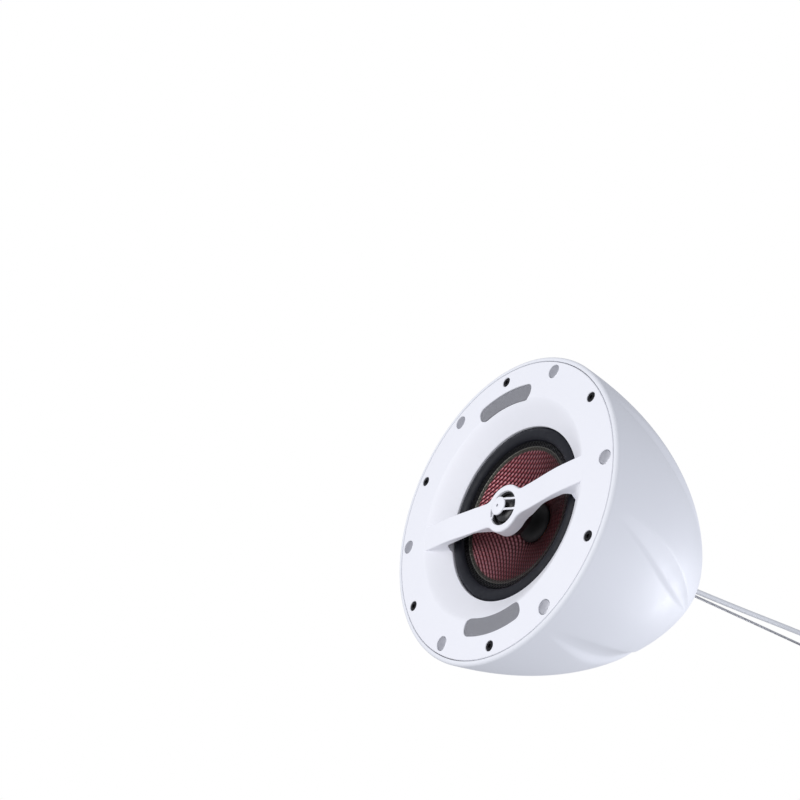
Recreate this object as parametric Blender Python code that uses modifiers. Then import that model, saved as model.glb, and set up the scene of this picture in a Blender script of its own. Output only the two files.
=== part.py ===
"""Pendant loudspeaker: a fluted bell housing that hangs face down from a steel rope,
with a one-piece baffle, a woofer, a bridge-mounted tweeter and the parts behind them.

Metres, +Z up. The origin is the middle of the ceiling plate's top face. Everything below the
ceiling is modelled from the face plane of the baffle: z = 0 there, and z grows towards the crown.
"""

import math

import bmesh
import bpy
from mathutils import Vector

# Clearances
SEAT = 0.0003            # between faces that touch
SEAM = 0.0006            # baffle edge to housing mouth
COIL_GAP = 0.0008        # voice coil to the steel on either side
SHANK_GAP = 0.0009       # screw shank to the holes of the gasket
TIP_GAP = 0.0010         # screw point to the end of its pilot hole
WIRE_GAP = 0.0010        # lead to a hole it passes through with room
OVERCUT = 0.0020         # how far a cutter stands out of the face it cuts
SINK = 0.0004            # how far a joined piece reaches into its neighbour

# Woofer opening, from which every radius of the face is worked out
OPENING_R = 0.0786
BASKET_RIM = 0.0144      # basket flange beyond the opening
DUCT_ROOM = 0.0025       # basket flange to the port duct
DUCT_WALL = 0.0020
SLOT_WIDTH = 0.0155
SLOT_TO_HOLES = 0.0110   # port slot to the ring of holes
HOLES_TO_EDGE = 0.0088
RIM_WIDTH = 0.0041       # housing rim that shows round the baffle
DISH_START = 0.0035      # the dish begins this far outside the slot's inner edge

BASKET_R = OPENING_R + BASKET_RIM
SLOT_IN_R = BASKET_R + DUCT_ROOM + DUCT_WALL
SLOT_OUT_R = SLOT_IN_R + SLOT_WIDTH
HOLE_CIRCLE_R = SLOT_OUT_R + SLOT_TO_HOLES
BAFFLE_R = HOLE_CIRCLE_R + HOLES_TO_EDGE
MOUTH_R = BAFFLE_R + SEAM
HOUSING_R = MOUTH_R + RIM_WIDTH
DISH_R = SLOT_IN_R + DISH_START

# Housing
HOUSING_H = 0.2270
HOUSING_WALL = 0.0032
SHOULDER_INSET, SHOULDER_UP = 0.0075, 0.40   # lower handle of the side curve, and its share of the height
NECK_SHARE, NECK_UP = 0.705, 0.71            # upper handle, as shares of the radius and the height
CROWN_CURVE_R = 0.0175
CROWN_DROP = 0.0014
CROWN_FLAT_R = 0.0122
CROWN_THICK = 0.0060
RIM_ROUND = 0.0028
LEDGE_WIDTH = 0.0164
LEDGE_THICK = 0.0030
BOSS_R = 0.0048
BOSS_HEIGHT = 0.0104
BOSS_FLOOR = 0.0020

# Flutes: leaf-shaped grooves that twist round the housing
FLUTES = 8
FLUTE_PHASE = math.radians(18.0)
FLUTE_TWIST = math.radians(26.5)
FLUTE_SPAN = math.radians(13.5)
FLUTE_DEPTH = 0.0040
FLUTE_FOOT, FLUTE_TIP = 0.053, 0.793         # where it starts and ends, as shares of the height
FLUTE_TWIST_FOOT = 0.15                      # share of the twist that runs evenly; the rest is cubic
FLUTE_SPAN_MIN = 0.30                        # share of the span that is left at the two ends
FLUTE_FULLEST = 1.2                          # above 1, the leaf is widest beyond the middle
FLUTE_VALLEY = 0.57
BAND_COLUMNS = (0.0, 0.30, FLUTE_VALLEY, 1.0)
PLAIN_COLUMNS = 2
SIDE_ROWS = 12

# Baffle
FLANGE_THICK = 0.0045
DISH_DEPTH = 0.0152
DISH_MOUTH, DISH_THROAT, DISH_THROAT_UP = 0.58, 0.085, 0.40   # handles of its curve, as shares of its size
LIP_THICK = 0.0023
LIP_WIDTH = 0.0074
DISH_BACK_OUT = 0.0010
DISH_BACK_RUN = 0.0050
EDGE_ROUND = 0.0008
HOLE_COUNT = 12
SCREW_HEAD_HOLE_R = 0.0045
SCREW_HEAD_HOLE_DEPTH = 0.0025
SCREW_HEAD_INSET = 0.0003
SCREW_SHANK_R = 0.0017
MAGNET_R = 0.0059
MAGNET_THICK = 0.0030
MAGNET_INSET = 0.0004
MAGNET_EDGE = 0.0006
SLOT_HALF_ANGLE = math.radians(18.5)
SLOT_CORNER_R = 0.0050
DRIVER_SCREW_OUT = 0.0110
DRIVER_SCREW_R = OPENING_R + DRIVER_SCREW_OUT
DRIVER_BOSS_R = 0.0034
DRIVER_PILOT_R = 0.0016
DRIVER_PILOT_FLOOR = 0.0030
DRIVER_HEAD_R, DRIVER_HEAD_HEIGHT = 0.0034, 0.0022

# Bridge, hub and guard
ARM_HALF_WIDTH = 0.01175
ARM_BACK_Z = 0.0090
ARM_ROOT_R = 0.0080      # fillet between the arm and the edge of the opening
ARM_FRONT_OUT_Z = 0.0002
ARM_FRONT_HUB_Z = 0.0050
ARM_EDGE = 0.0012
ARM_FILLET_R = 0.0120
ARM_RISE_END = 0.0070    # beyond the opening, where the arm is flush with the face
ARM_SINK = 0.0012        # how far the arm's end runs below the face
ARM_RUN_OUT = 0.0050     # and how far past the dish
DOME_R = 0.0125          # tweeter dome, from which the hub is worked out
DOME_HEIGHT, DOME_FILM = 0.0052, 0.0006
TWEETER_RIM = 0.0064
HUB_WALL = 0.0023
HUB_MOUTH_OUT = 0.0027
TWEETER_R = DOME_R + TWEETER_RIM
HUB_R = TWEETER_R + SEAT + HUB_WALL
HUB_MOUTH_R = DOME_R + HUB_MOUTH_OUT
HUB_FRONT_Z = 0.0047
HUB_BACK_Z = 0.0155
HUB_EDGE = 0.0010
HUB_MOUTH_THICK = 0.0023
GUARD_SHARE = 0.656      # guard disc to dome
GUARD_R = DOME_R * GUARD_SHARE
GUARD_FRONT_Z = -0.0013
GUARD_THICK = 0.0020
GUARD_DOT_R = 0.0008
GUARD_BAR_Y = 0.0048
GUARD_BAR_WIDTH = 0.0020
GUARD_BAR_THICK = 0.0016
GUARD_BAR_LAP = 0.0012   # how far a bar reaches into the hub's ring
GUARD_BAR_SET = 0.0011   # how far the bars lie behind the disc's front
GUARD_BAR_SINK = 0.0004  # and behind the ring's front
CHANNEL_WIDTH, CHANNEL_DEPTH = 0.0032, 0.0024
TWEETER_WIRE_R = 0.0010
TWEETER_PLATE_THICK = 0.0017
TWEETER_COIL_LENGTH = 0.0034
TWEETER_DEPTH, TWEETER_BACK = 0.0130, 0.0030
TWEETER_MAGNET_INSET, TWEETER_MAGNET_THICK = 0.0010, 0.0040
TWEETER_POLE_INSET, TWEETER_POLE_DROP = 0.0008, 0.0014
TWEETER_CAP_R, TWEETER_CAP_THICK, TWEETER_CAP_EDGE = 0.0150, 0.0032, 0.0010

# Gaskets and ports
BAFFLE_GASKET_THICK = 0.0015
WOOFER_GASKET_THICK = 0.0012
DUCT_LENGTH = 0.0400
SCREEN_THICK = 0.0015

# Woofer
ROLL_WIDTH = 0.0125
ROLL_OUT = 0.0004        # the roll's outer foot lies this far behind the baffle's lip
ROLL_HEIGHT = 0.0053
RUBBER = 0.0007
SURROUND_LIP = 0.0055
INNER_LIP = 0.0036
BASKET_THICK = 0.0020
BASKET_MOUTH_OUT = 0.0014
WINDOW_HALF_ANGLE = math.radians(31.0)
WINDOW_CORNER = 0.22     # corner radius of a basket window, as a share of its width
CONE_THICK = 0.00115     # along Z
CONE_EDGE_Z = 0.0186
CONE_EDGE_RUN, CONE_EDGE_FALL = 0.0165, 0.0055
CONE_NECK_Z = 0.0465
CONE_NECK_RUN = 0.0130
COIL_IN_R = 0.0128
COIL_WALL = 0.0010
COIL_LENGTH = 0.0250
COIL_LAP = 0.0030        # coil inside the cone's neck
SPIDER_SHARE = 0.5725    # spider to opening
SPIDER_R = OPENING_R * SPIDER_SHARE
SPIDER_Z = 0.0500
SPIDER_WAVE = 0.0010
SPIDER_THICK = 0.0006
SPIDER_SEAT = 0.0060
SPIDER_COLLAR = 0.0012
FLOOR_Z = 0.0597
FLOOR_HOLE_OUT = 0.0032
TOP_PLATE_R, TOP_PLATE_THICK = 0.0420, 0.0050
FERRITE_OVERHANG, FERRITE_IN_R, FERRITE_THICK = 0.0030, 0.0210, 0.0150
FERRITE_EDGE = 0.0010
YOKE_THICK = 0.0050
VENT_R = 0.0040
CAP_R = 0.0180
CAP_HEIGHT = 0.0070
CAP_FILM, CAP_LIP = 0.0007, 0.0009
TAG_WIDTH, TAG_THICK, TAG_HEIGHT = 0.0160, 0.0022, 0.0070
LUG_X, LUG_WIDTH, LUG_REACH, LUG_THICK, LUG_UP = 0.0045, 0.0030, 0.0030, 0.0008, 0.0030

# Electrics behind the woofer
BRACKET_LENGTH, BRACKET_WIDTH, BRACKET_THICK = 0.1040, 0.0500, 0.0015
CORE_WIDTH, CORE_DEPTH, CORE_HEIGHT = 0.0420, 0.0160, 0.0350
CORE_X = -0.0260
BRACKET_CORNER_R = 0.0060
EAR_WIDTH, EAR_HEIGHT = 0.0140, 0.0120
BOARD_X, BOARD_LENGTH, BOARD_WIDTH, BOARD_THICK = 0.0270, 0.0440, 0.0400, 0.0016
STANDOFF_HEIGHT = 0.0056
STANDOFF_R, STANDOFF_INSET = 0.0025, 0.0040
INDUCTOR_R, INDUCTOR_IN_R, INDUCTOR_HEIGHT = 0.0120, 0.0060, 0.0110
INDUCTOR_X, INDUCTOR_Y = -0.0080, 0.0050     # from the board's middle
CAN_R, CAN_LENGTH, CAN_EDGE = 0.0060, 0.0260, 0.0010
CAN_X, CAN_Y = 0.0130, 0.0180
BLOCK_X, BLOCK_Y = 0.0030, -0.0145
BLOCK_LENGTH, BLOCK_WIDTH, BLOCK_HEIGHT = 0.0280, 0.0090, 0.0110
WELL_R, WELL_PITCH, WELL_DEPTH = 0.0022, 0.0065, 0.0050
WIRE_R = 0.0010

# Hanging gear
ROPE_R = 0.00125
LEAD_R = 0.0025
LEAD_Y = -0.0052         # the lead runs beside the rope at the crown
LEAD_TOP_Y = -0.0140     # and a little apart from it at the ceiling
GROMMET_R = 0.0092
GROMMET_FLANGE_R = 0.0106
GROMMET_FLANGE_THICK = 0.0012
PLATE_R, PLATE_THICK = 0.0125, 0.0025
STOPPER_R, STOPPER_LENGTH = 0.0024, 0.0120
ROPE_FREE = 0.2200       # crown to the ceiling cup
ROPE_IN_CUP = 0.0150
GROMMET_EDGE = 0.0004
GROMMET_SLOT_Y = -0.0009
CUP_R, CUP_HEIGHT, CUP_WALL, CUP_ROUND = 0.0300, 0.0260, 0.0018, 0.0050
CEILING_PLATE_THICK = 0.0025
ANCHOR_R, ANCHOR_NOSE = 0.0050, 0.0080
ANCHOR_FOOT_R, ANCHOR_FOOT_THICK = 0.0090, 0.0030
FIXING_X, FIXING_HOLE_R = 0.0170, 0.0023
COLLAR_R, COLLAR_HEIGHT = 0.0080, 0.0040
FITTING_EDGE = 0.0008
GLAND_R, GLAND_FLANGE_R, GLAND_FLANGE_THICK, GLAND_LENGTH = 0.0039, 0.0050, 0.0012, 0.0020
GLAND_EDGE = 0.0004
CEILING_PLATE_INSET = 0.0022

CUP_Z = HOUSING_H + ROPE_FREE
CEILING_Z = CUP_Z + CUP_HEIGHT

# Colours as linear RGB, with roughness and metallic
WHITE_ABS = ((0.80, 0.81, 0.84), 0.42, 0.0)
WHITE_PAINT = ((0.80, 0.81, 0.84), 0.35, 0.0)
WHITE_PVC = ((0.72, 0.72, 0.74), 0.45, 0.0)
BLACK_PLASTIC = ((0.012, 0.012, 0.014), 0.45, 0.0)
BLACK_SILK = ((0.010, 0.010, 0.012), 0.60, 0.0)
BLACK_STEEL = ((0.015, 0.015, 0.016), 0.40, 0.6)
RUBBER_LOOK = ((0.022, 0.022, 0.026), 0.62, 0.0)
CONE_LOOK = ((0.20, 0.035, 0.040), 0.60, 0.0)
FOAM = ((0.020, 0.020, 0.020), 0.90, 0.0)
SCREEN_LOOK = ((0.13, 0.13, 0.15), 0.60, 0.0)
NICKEL = ((0.45, 0.45, 0.47), 0.28, 1.0)
STEEL = ((0.48, 0.48, 0.50), 0.35, 1.0)
FERRITE_LOOK = ((0.035, 0.034, 0.033), 0.70, 0.0)
COPPER = ((0.55, 0.22, 0.10), 0.35, 1.0)
CLOTH = ((0.42, 0.26, 0.07), 0.80, 0.0)
BOARD_LOOK = ((0.03, 0.13, 0.05), 0.45, 0.0)
RED_WIRE = ((0.35, 0.02, 0.02), 0.45, 0.0)

for old in list(bpy.data.objects):
    bpy.data.objects.remove(old, do_unlink=True)

parts = bpy.data.collections.new("pendant_speaker")
guides = bpy.data.collections.new("cutters")
bpy.context.scene.collection.children.link(parts)
bpy.context.scene.collection.children.link(guides)
guides.hide_render = True

face = bpy.data.objects.new("face_centre", None)
face.location = (0.0, 0.0, -CEILING_Z)
parts.objects.link(face)


# Making and placing objects

def finish(name, data, look=None, at=(0.0, 0.0, 0.0)):
    """An object under the face's empty: a part where it has a look, and otherwise a hidden guide."""
    obj = bpy.data.objects.new(name, data)
    obj.parent = face
    obj.location = at
    if look is None:
        guides.objects.link(obj)
        obj.hide_render = True
        obj.display_type = "WIRE"
        return obj
    parts.objects.link(obj)
    colour, roughness, metallic = look
    material = bpy.data.materials.new(name)
    material.use_nodes = True
    shader = material.node_tree.nodes["Principled BSDF"]
    shader.inputs["Base Color"].default_value = (*colour, 1.0)
    shader.inputs["Roughness"].default_value = roughness
    shader.inputs["Metallic"].default_value = metallic
    obj.data.materials.clear()
    obj.data.materials.append(material)
    return obj


def mesh_of(name, bm):
    mesh = bpy.data.meshes.new(name)
    bmesh.ops.recalc_face_normals(bm, faces=bm.faces)
    bm.to_mesh(mesh)
    bm.free()
    mesh.shade_smooth()
    mesh.set_sharp_from_angle(angle=math.radians(35.0))
    return mesh


def turned(name, profile, look=None, steps=24, at=(0.0, 0.0, 0.0)):
    """A turned solid: (radius, z) points that end on the axis, or a loop clear of it."""
    ring = profile[0][0] > 0.0
    area = sum(a[0] * b[1] - b[0] * a[1] for a, b in zip(profile, profile[1:] + profile[:1]))
    points = profile[::-1] if area > 0.0 else profile
    edges = [(i, i + 1) for i in range(len(points) - 1)]
    if ring:
        edges.append((len(points) - 1, 0))
    mesh = bpy.data.meshes.new(name)
    mesh.from_pydata([(r, 0.0, z) for r, z in points], edges, [])
    obj = finish(name, mesh, look, at)
    screw = obj.modifiers.new("turn", "SCREW")
    screw.steps = steps
    screw.render_steps = steps
    screw.use_merge_vertices = True
    screw.merge_threshold = 0.00001
    screw.use_smooth_shade = True
    return obj


def flat(name, loops, low, high, look, at=(0.0, 0.0)):
    """A flat plate between two heights: its outline, then its holes."""
    curve = bpy.data.curves.new(name, "CURVE")
    curve.dimensions = "2D"
    curve.fill_mode = "BOTH"
    curve.extrude = (high - low) / 2.0
    for loop in loops:
        spline = curve.splines.new("POLY")
        spline.points.add(len(loop) - 1)
        for point, (x, y) in zip(spline.points, loop):
            point.co = (x, y, 0.0, 1.0)
        spline.use_cyclic_u = True
    return finish(name, curve, look, (at[0], at[1], (low + high) / 2.0))


def prism(name, outline, low, high, look=None, at=(0.0, 0.0, 0.0)):
    bm = bmesh.new()
    base = bm.faces.new([bm.verts.new((x, y, low)) for x, y in outline])
    grown = bmesh.ops.extrude_face_region(bm, geom=[base])["geom"]
    top = [v for v in grown if isinstance(v, bmesh.types.BMVert)]
    bmesh.ops.translate(bm, verts=top, vec=(0.0, 0.0, high - low))
    return finish(name, mesh_of(name, bm), look, at)


def box(name, low, high, look=None):
    bm = bmesh.new()
    bmesh.ops.create_cube(bm, size=1.0)
    size = [h - l for l, h in zip(low, high)]
    middle = [(h + l) / 2.0 for l, h in zip(low, high)]
    bmesh.ops.scale(bm, vec=size, verts=bm.verts)
    bmesh.ops.translate(bm, vec=middle, verts=bm.verts)
    return finish(name, mesh_of(name, bm), look)


def loft(name, rings):
    """A guide through unlike sections, each a ring with the same number of points."""
    bm = bmesh.new()
    loops = [[bm.verts.new(point) for point in ring] for ring in rings]
    for a, b in zip(loops, loops[1:]):
        for i in range(len(a)):
            j = (i + 1) % len(a)
            bm.faces.new((a[i], a[j], b[j], b[i]))
    bm.faces.new(loops[0])
    bm.faces.new(loops[-1])
    return finish(name, mesh_of(name, bm))


def tube(name, points, radius, look, resolution=2):
    curve = bpy.data.curves.new(name, "CURVE")
    curve.dimensions = "3D"
    curve.bevel_depth = radius
    curve.bevel_resolution = resolution
    curve.use_fill_caps = True
    spline = curve.splines.new("POLY")
    spline.points.add(len(points) - 1)
    for point, co in zip(spline.points, points):
        point.co = (*co, 1.0)
    return finish(name, curve, look)


def smooth_route(knots, count):
    """Points on a smooth curve through the knots, in equal steps of its parameter."""
    knots = [Vector(k) for k in knots]
    ends = [knots[0] * 2 - knots[1]] + knots + [knots[-1] * 2 - knots[-2]]
    out = []
    for i in range(count):
        t = i / (count - 1) * (len(knots) - 1)
        k = min(int(t), len(knots) - 2)
        u = t - k
        a, b, c, d = ends[k:k + 4]
        out.append(0.5 * (2 * b + (c - a) * u + (2 * a - 5 * b + 4 * c - d) * u * u
                          + (3 * b - a - 3 * c + d) * u ** 3))
    return out


def combine(obj, others, operation):
    for other in others:
        modifier = obj.modifiers.new(other.name, "BOOLEAN")
        modifier.operation = operation
        modifier.solver = "EXACT"
        modifier.object = other


def joined(name, pieces):
    """Guides that lie clear of each other, as the one mesh of a single Boolean."""
    bpy.context.view_layer.update()
    graph = bpy.context.evaluated_depsgraph_get()
    bm = bmesh.new()
    for piece in pieces:
        mesh = bpy.data.meshes.new_from_object(piece.evaluated_get(graph))
        mesh.transform(piece.matrix_local)
        bm.from_mesh(mesh)
        bpy.data.meshes.remove(mesh)
        bpy.data.objects.remove(piece, do_unlink=True)
    bmesh.ops.remove_doubles(bm, verts=bm.verts, dist=0.00001)
    return finish(name, mesh_of(name, bm))


# Outlines and curves

def circle(radius, count, at=(0.0, 0.0), start=0.0):
    turn = [start + 2.0 * math.pi * i / count for i in range(count)]
    return [(at[0] + radius * math.cos(a), at[1] + radius * math.sin(a)) for a in turn]


def polar(radius, angle):
    return radius * math.cos(angle), radius * math.sin(angle)


def bezier(p, t):
    s = 1.0 - t
    weights = (s ** 3, 3 * s * s * t, 3 * s * t * t, t ** 3)
    return tuple(sum(w * q[k] for w, q in zip(weights, p)) for k in (0, 1))


def arc_slot(inner, outer, half_angle, corner, middle_angle, grow=0.0):
    """The outline of a slot bent round the axis, with rounded corners, all grown outwards."""
    inner, outer, corner = inner - grow, outer + grow, corner + grow
    half_angle = half_angle + grow / ((inner + outer) / 2.0)
    outline = []
    for radius, side, start in ((outer - corner, 1, 0), (inner + corner, 1, 90),
                                (inner + corner, -1, 180), (outer - corner, -1, 270)):
        centre = middle_angle + side * (half_angle - corner / radius)
        for step in range(3):
            turn = math.radians(start + 45.0 * step)
            r = radius + corner * math.cos(turn)
            outline.append(polar(r, centre + corner * math.sin(turn) / radius))
        if start in (90, 270):
            between = inner if start == 90 else outer
            for share in (0.5, 0.0, -0.5):
                turn = middle_angle + (share if start == 90 else -share) * half_angle
                outline.append(polar(between, turn))
    return outline


def stadium(radius, y_low, y_high, count=8):
    turn = [math.pi * i / count for i in range(count + 1)]
    top = [(radius * math.cos(a), y_high + radius * math.sin(a)) for a in turn]
    bottom = [(-radius * math.cos(a), y_low - radius * math.sin(a)) for a in turn]
    return top + bottom


# Housing

SIDE = ((HOUSING_R, RIM_ROUND), (HOUSING_R - SHOULDER_INSET, HOUSING_H * SHOULDER_UP),
        (HOUSING_R * NECK_SHARE, HOUSING_H * NECK_UP), (CROWN_CURVE_R, HOUSING_H - CROWN_DROP))
FLUTE_FOOT_Z = HOUSING_H * FLUTE_FOOT
FLUTE_TIP_Z = HOUSING_H * FLUTE_TIP
LEDGE_Z = FLANGE_THICK + BAFFLE_GASKET_THICK + 2 * SEAT
LEDGE_IN_R = MOUTH_R - LEDGE_WIDTH
LEDGE_BACK_Z = LEDGE_Z + LEDGE_THICK
CROWN_HOLE_R = GROMMET_R + SEAT
CROWN_INSIDE_Z = HOUSING_H - CROWN_THICK


def side_inside(t):
    """The side curve moved in by the wall's thickness."""
    before, after = bezier(SIDE, t - 0.001), bezier(SIDE, t + 0.001)
    dr, dz = after[0] - before[0], after[1] - before[1]
    length = math.hypot(dr, dz)
    r, z = bezier(SIDE, t)
    return r - HOUSING_WALL * dz / length, z + HOUSING_WALL * dr / length


def inside_at(height):
    low, high = 0.0, 1.0
    for _ in range(40):
        middle = (low + high) / 2.0
        if side_inside(middle)[1] < height:
            low = middle
        else:
            high = middle
    return low


def flute_share(z):
    return min(max((z - FLUTE_FOOT_Z) / (FLUTE_TIP_Z - FLUTE_FOOT_Z), 0.0), 1.0)


def leaf(z):
    return max(math.sin(math.pi * flute_share(z) ** FLUTE_FULLEST), 0.0)


def flute_depth(z, u):
    """How deep the flute is at height z, a share u of the way across from its crisp edge."""
    if not 0.0 < u < 1.0:
        return 0.0
    wall = u / FLUTE_VALLEY if u < FLUTE_VALLEY else (1.0 - u) / (1.0 - FLUTE_VALLEY)
    return FLUTE_DEPTH * leaf(z) * wall


def column_angle(column, z):
    """Where a column of the mesh stands at height z, and its share across the flute."""
    sector = 2.0 * math.pi / FLUTES
    if z < FLUTE_FOOT_Z:
        return FLUTE_PHASE + column * sector / (len(BAND_COLUMNS) + PLAIN_COLUMNS), 1.0
    flute, place = divmod(column, len(BAND_COLUMNS) + PLAIN_COLUMNS)
    share = flute_share(z)
    twist = FLUTE_TWIST_FOOT * share + (1.0 - FLUTE_TWIST_FOOT) * share ** 3
    start = FLUTE_PHASE + flute * sector + FLUTE_TWIST * twist
    span = FLUTE_SPAN * (FLUTE_SPAN_MIN + (1.0 - FLUTE_SPAN_MIN) * leaf(z))
    if place < len(BAND_COLUMNS):
        return start + BAND_COLUMNS[place] * span, BAND_COLUMNS[place]
    rest = (place - len(BAND_COLUMNS) + 1) / (PLAIN_COLUMNS + 1)
    return start + span + rest * (sector - span), 1.0


def make_housing():
    recess_z = HOUSING_H - GROMMET_FLANGE_THICK - SEAT
    recess_r = GROMMET_FLANGE_R + SEAT
    crown = [(CROWN_HOLE_R, recess_z), (recess_r, recess_z), (recess_r, HOUSING_H),
             (CROWN_FLAT_R, HOUSING_H), ((CROWN_FLAT_R + CROWN_CURVE_R) / 2, HOUSING_H - CROWN_DROP / 4)]
    side = [bezier(SIDE, 1.0 - i / SIDE_ROWS) for i in range(SIDE_ROWS + 1)]
    rim = [(HOUSING_R - RIM_ROUND * (1 - math.cos(a)), RIM_ROUND * (1 - math.sin(a)))
           for a in (math.pi / 4, math.pi / 2)]
    mouth = [(MOUTH_R, 0.0), (MOUTH_R, LEDGE_Z), (LEDGE_IN_R, LEDGE_Z), (LEDGE_IN_R, LEDGE_BACK_Z)]
    low, high = inside_at(LEDGE_BACK_Z), inside_at(CROWN_INSIDE_Z)
    rows = SIDE_ROWS // 2
    inside = [side_inside(low + (high - low) * i / rows) for i in range(rows + 1)]
    profile = crown + side + rim + mouth + inside + [(CROWN_HOLE_R, CROWN_INSIDE_Z)]

    columns = FLUTES * (len(BAND_COLUMNS) + PLAIN_COLUMNS)
    bm = bmesh.new()
    line = [bm.verts.new((r, 0.0, z)) for r, z in profile]
    edges = [bm.edges.new(pair) for pair in zip(line, line[1:] + line[:1])]
    bmesh.ops.spin(bm, geom=line + edges, axis=(0, 0, 1), cent=(0, 0, 0), angle=2 * math.pi,
                   steps=columns, use_merge=True)
    for vert in bm.verts:
        r = math.hypot(vert.co.x, vert.co.y)
        turn = math.atan2(vert.co.y, vert.co.x) % (2 * math.pi)
        column = round(turn / (2 * math.pi) * columns) % columns
        angle, u = column_angle(column, vert.co.z)
        r -= flute_depth(vert.co.z, u)
        vert.co.x, vert.co.y = polar(r, angle)
    housing = finish("housing", mesh_of("housing", bm), WHITE_ABS)

    pilots, bosses = [], []
    for angle in screw_angles():
        x, y = polar(HOLE_CIRCLE_R, angle)
        bosses.append(prism("boss", circle(BOSS_R, 8), LEDGE_BACK_Z - LEDGE_THICK / 2,
                            LEDGE_BACK_Z + BOSS_HEIGHT, at=(x, y, 0.0)))
        pilots.append(prism("pilot", circle(SCREW_SHANK_R + SEAT, 6), LEDGE_Z - OVERCUT,
                            LEDGE_BACK_Z + BOSS_HEIGHT - BOSS_FLOOR, at=(x, y, 0.0)))
    combine(housing, [joined("housing_bosses", bosses)], "UNION")
    combine(housing, [joined("housing_pilots", pilots)], "DIFFERENCE")


# Places of the holes on the face: magnets and screws take turns, a magnet at the bridge's end

def magnet_angles():
    return [2 * math.pi * i / HOLE_COUNT for i in range(0, HOLE_COUNT, 2)]


def screw_angles():
    return [2 * math.pi * i / HOLE_COUNT for i in range(1, HOLE_COUNT, 2)]


def driver_screw_angles():
    return [math.radians(45.0 + 90.0 * i) for i in range(4)]


# Baffle, with its bridge, hub and tweeter guard in one moulding

SEAT_PLANE_Z = DISH_DEPTH + LIP_THICK
SEAT_RING_R = OPENING_R + LIP_WIDTH
BACK_START_R = SLOT_IN_R - DUCT_WALL - SEAT * 2
GASKET_Z = SEAT_PLANE_Z + SEAT
SURROUND_LIP_Z = GASKET_Z + WOOFER_GASKET_THICK + SEAT
BASKET_Z = SURROUND_LIP_Z + RUBBER + SEAT


def ease(t):
    t = min(max(t, 0.0), 1.0)
    return t * t * (3.0 - 2.0 * t)


def baffle_profile():
    width = DISH_R - OPENING_R
    front = ((DISH_R, 0.0), (DISH_R - DISH_MOUTH * width, 0.0),
             (OPENING_R + DISH_THROAT * width, DISH_DEPTH * DISH_THROAT_UP), (OPENING_R, DISH_DEPTH))
    back = ((SEAT_RING_R, SEAT_PLANE_Z), (SEAT_RING_R + DISH_BACK_OUT, SEAT_PLANE_Z / 2),
            (BACK_START_R - DISH_BACK_RUN, FLANGE_THICK), (BACK_START_R, FLANGE_THICK))
    edge = [(BAFFLE_R, FLANGE_THICK), (BAFFLE_R, EDGE_ROUND), (BAFFLE_R - EDGE_ROUND, 0.0)]
    return (edge + [bezier(front, i / 4) for i in range(5)]
            + [(OPENING_R, SEAT_PLANE_Z)] + [bezier(back, i / 3) for i in range(4)])


def arm_half_width(x):
    """Half the arm's width: straight, then a fillet into the hub."""
    centre_x = math.sqrt((HUB_R + ARM_FILLET_R) ** 2 - (ARM_HALF_WIDTH + ARM_FILLET_R) ** 2)
    touch_x = centre_x * HUB_R / (HUB_R + ARM_FILLET_R)
    x = max(abs(x), touch_x)
    if x >= centre_x:
        return ARM_HALF_WIDTH
    return ARM_HALF_WIDTH + ARM_FILLET_R - math.sqrt(ARM_FILLET_R ** 2 - (x - centre_x) ** 2)


def arm_front(x):
    x = abs(x)
    start, end = HUB_R * 0.9, OPENING_R + ARM_RISE_END
    rise = ease((x - start) / (end - start))
    sink = ease((x - DISH_R + 0.4 * ARM_RUN_OUT) / (1.4 * ARM_RUN_OUT))
    return ARM_FRONT_HUB_Z + (ARM_FRONT_OUT_Z - ARM_FRONT_HUB_Z) * rise + ARM_SINK * sink


def arm_back(x):
    x = abs(x)
    grow = ease((x - OPENING_R) / (2 * ARM_ROOT_R) + 1.0)
    taper = ease((x - OPENING_R) / (DISH_R + ARM_RUN_OUT - OPENING_R))
    deep = ARM_BACK_Z + (DISH_DEPTH - SINK - ARM_BACK_Z) * grow
    return deep + (FLANGE_THICK - SINK - deep) * taper


def arm_root(x):
    """How much wider the arm's back is than its front, where it runs into the opening's edge."""
    run = (abs(x) - OPENING_R) / ARM_ROOT_R + 1.0
    if run <= 1.0:
        return ARM_ROOT_R * (1.0 - math.sqrt(1.0 - max(run, 0.0) ** 2))
    return ARM_ROOT_R * (1.0 - ease(run - 1.0))


def arm_section(x):
    h, front, back = arm_half_width(x), arm_front(x), arm_back(x)
    edge = min(ARM_EDGE, (back - front) / 3)
    root = arm_root(x)
    waist, waist_z = h + root * 0.3, front + edge + (back - front - edge) * 0.65
    return [(x, -h, front + edge), (x, -h + edge, front), (x, h - edge, front), (x, h, front + edge),
            (x, waist, waist_z), (x, h + root, back), (x, -h - root, back), (x, -waist, waist_z)]


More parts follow.
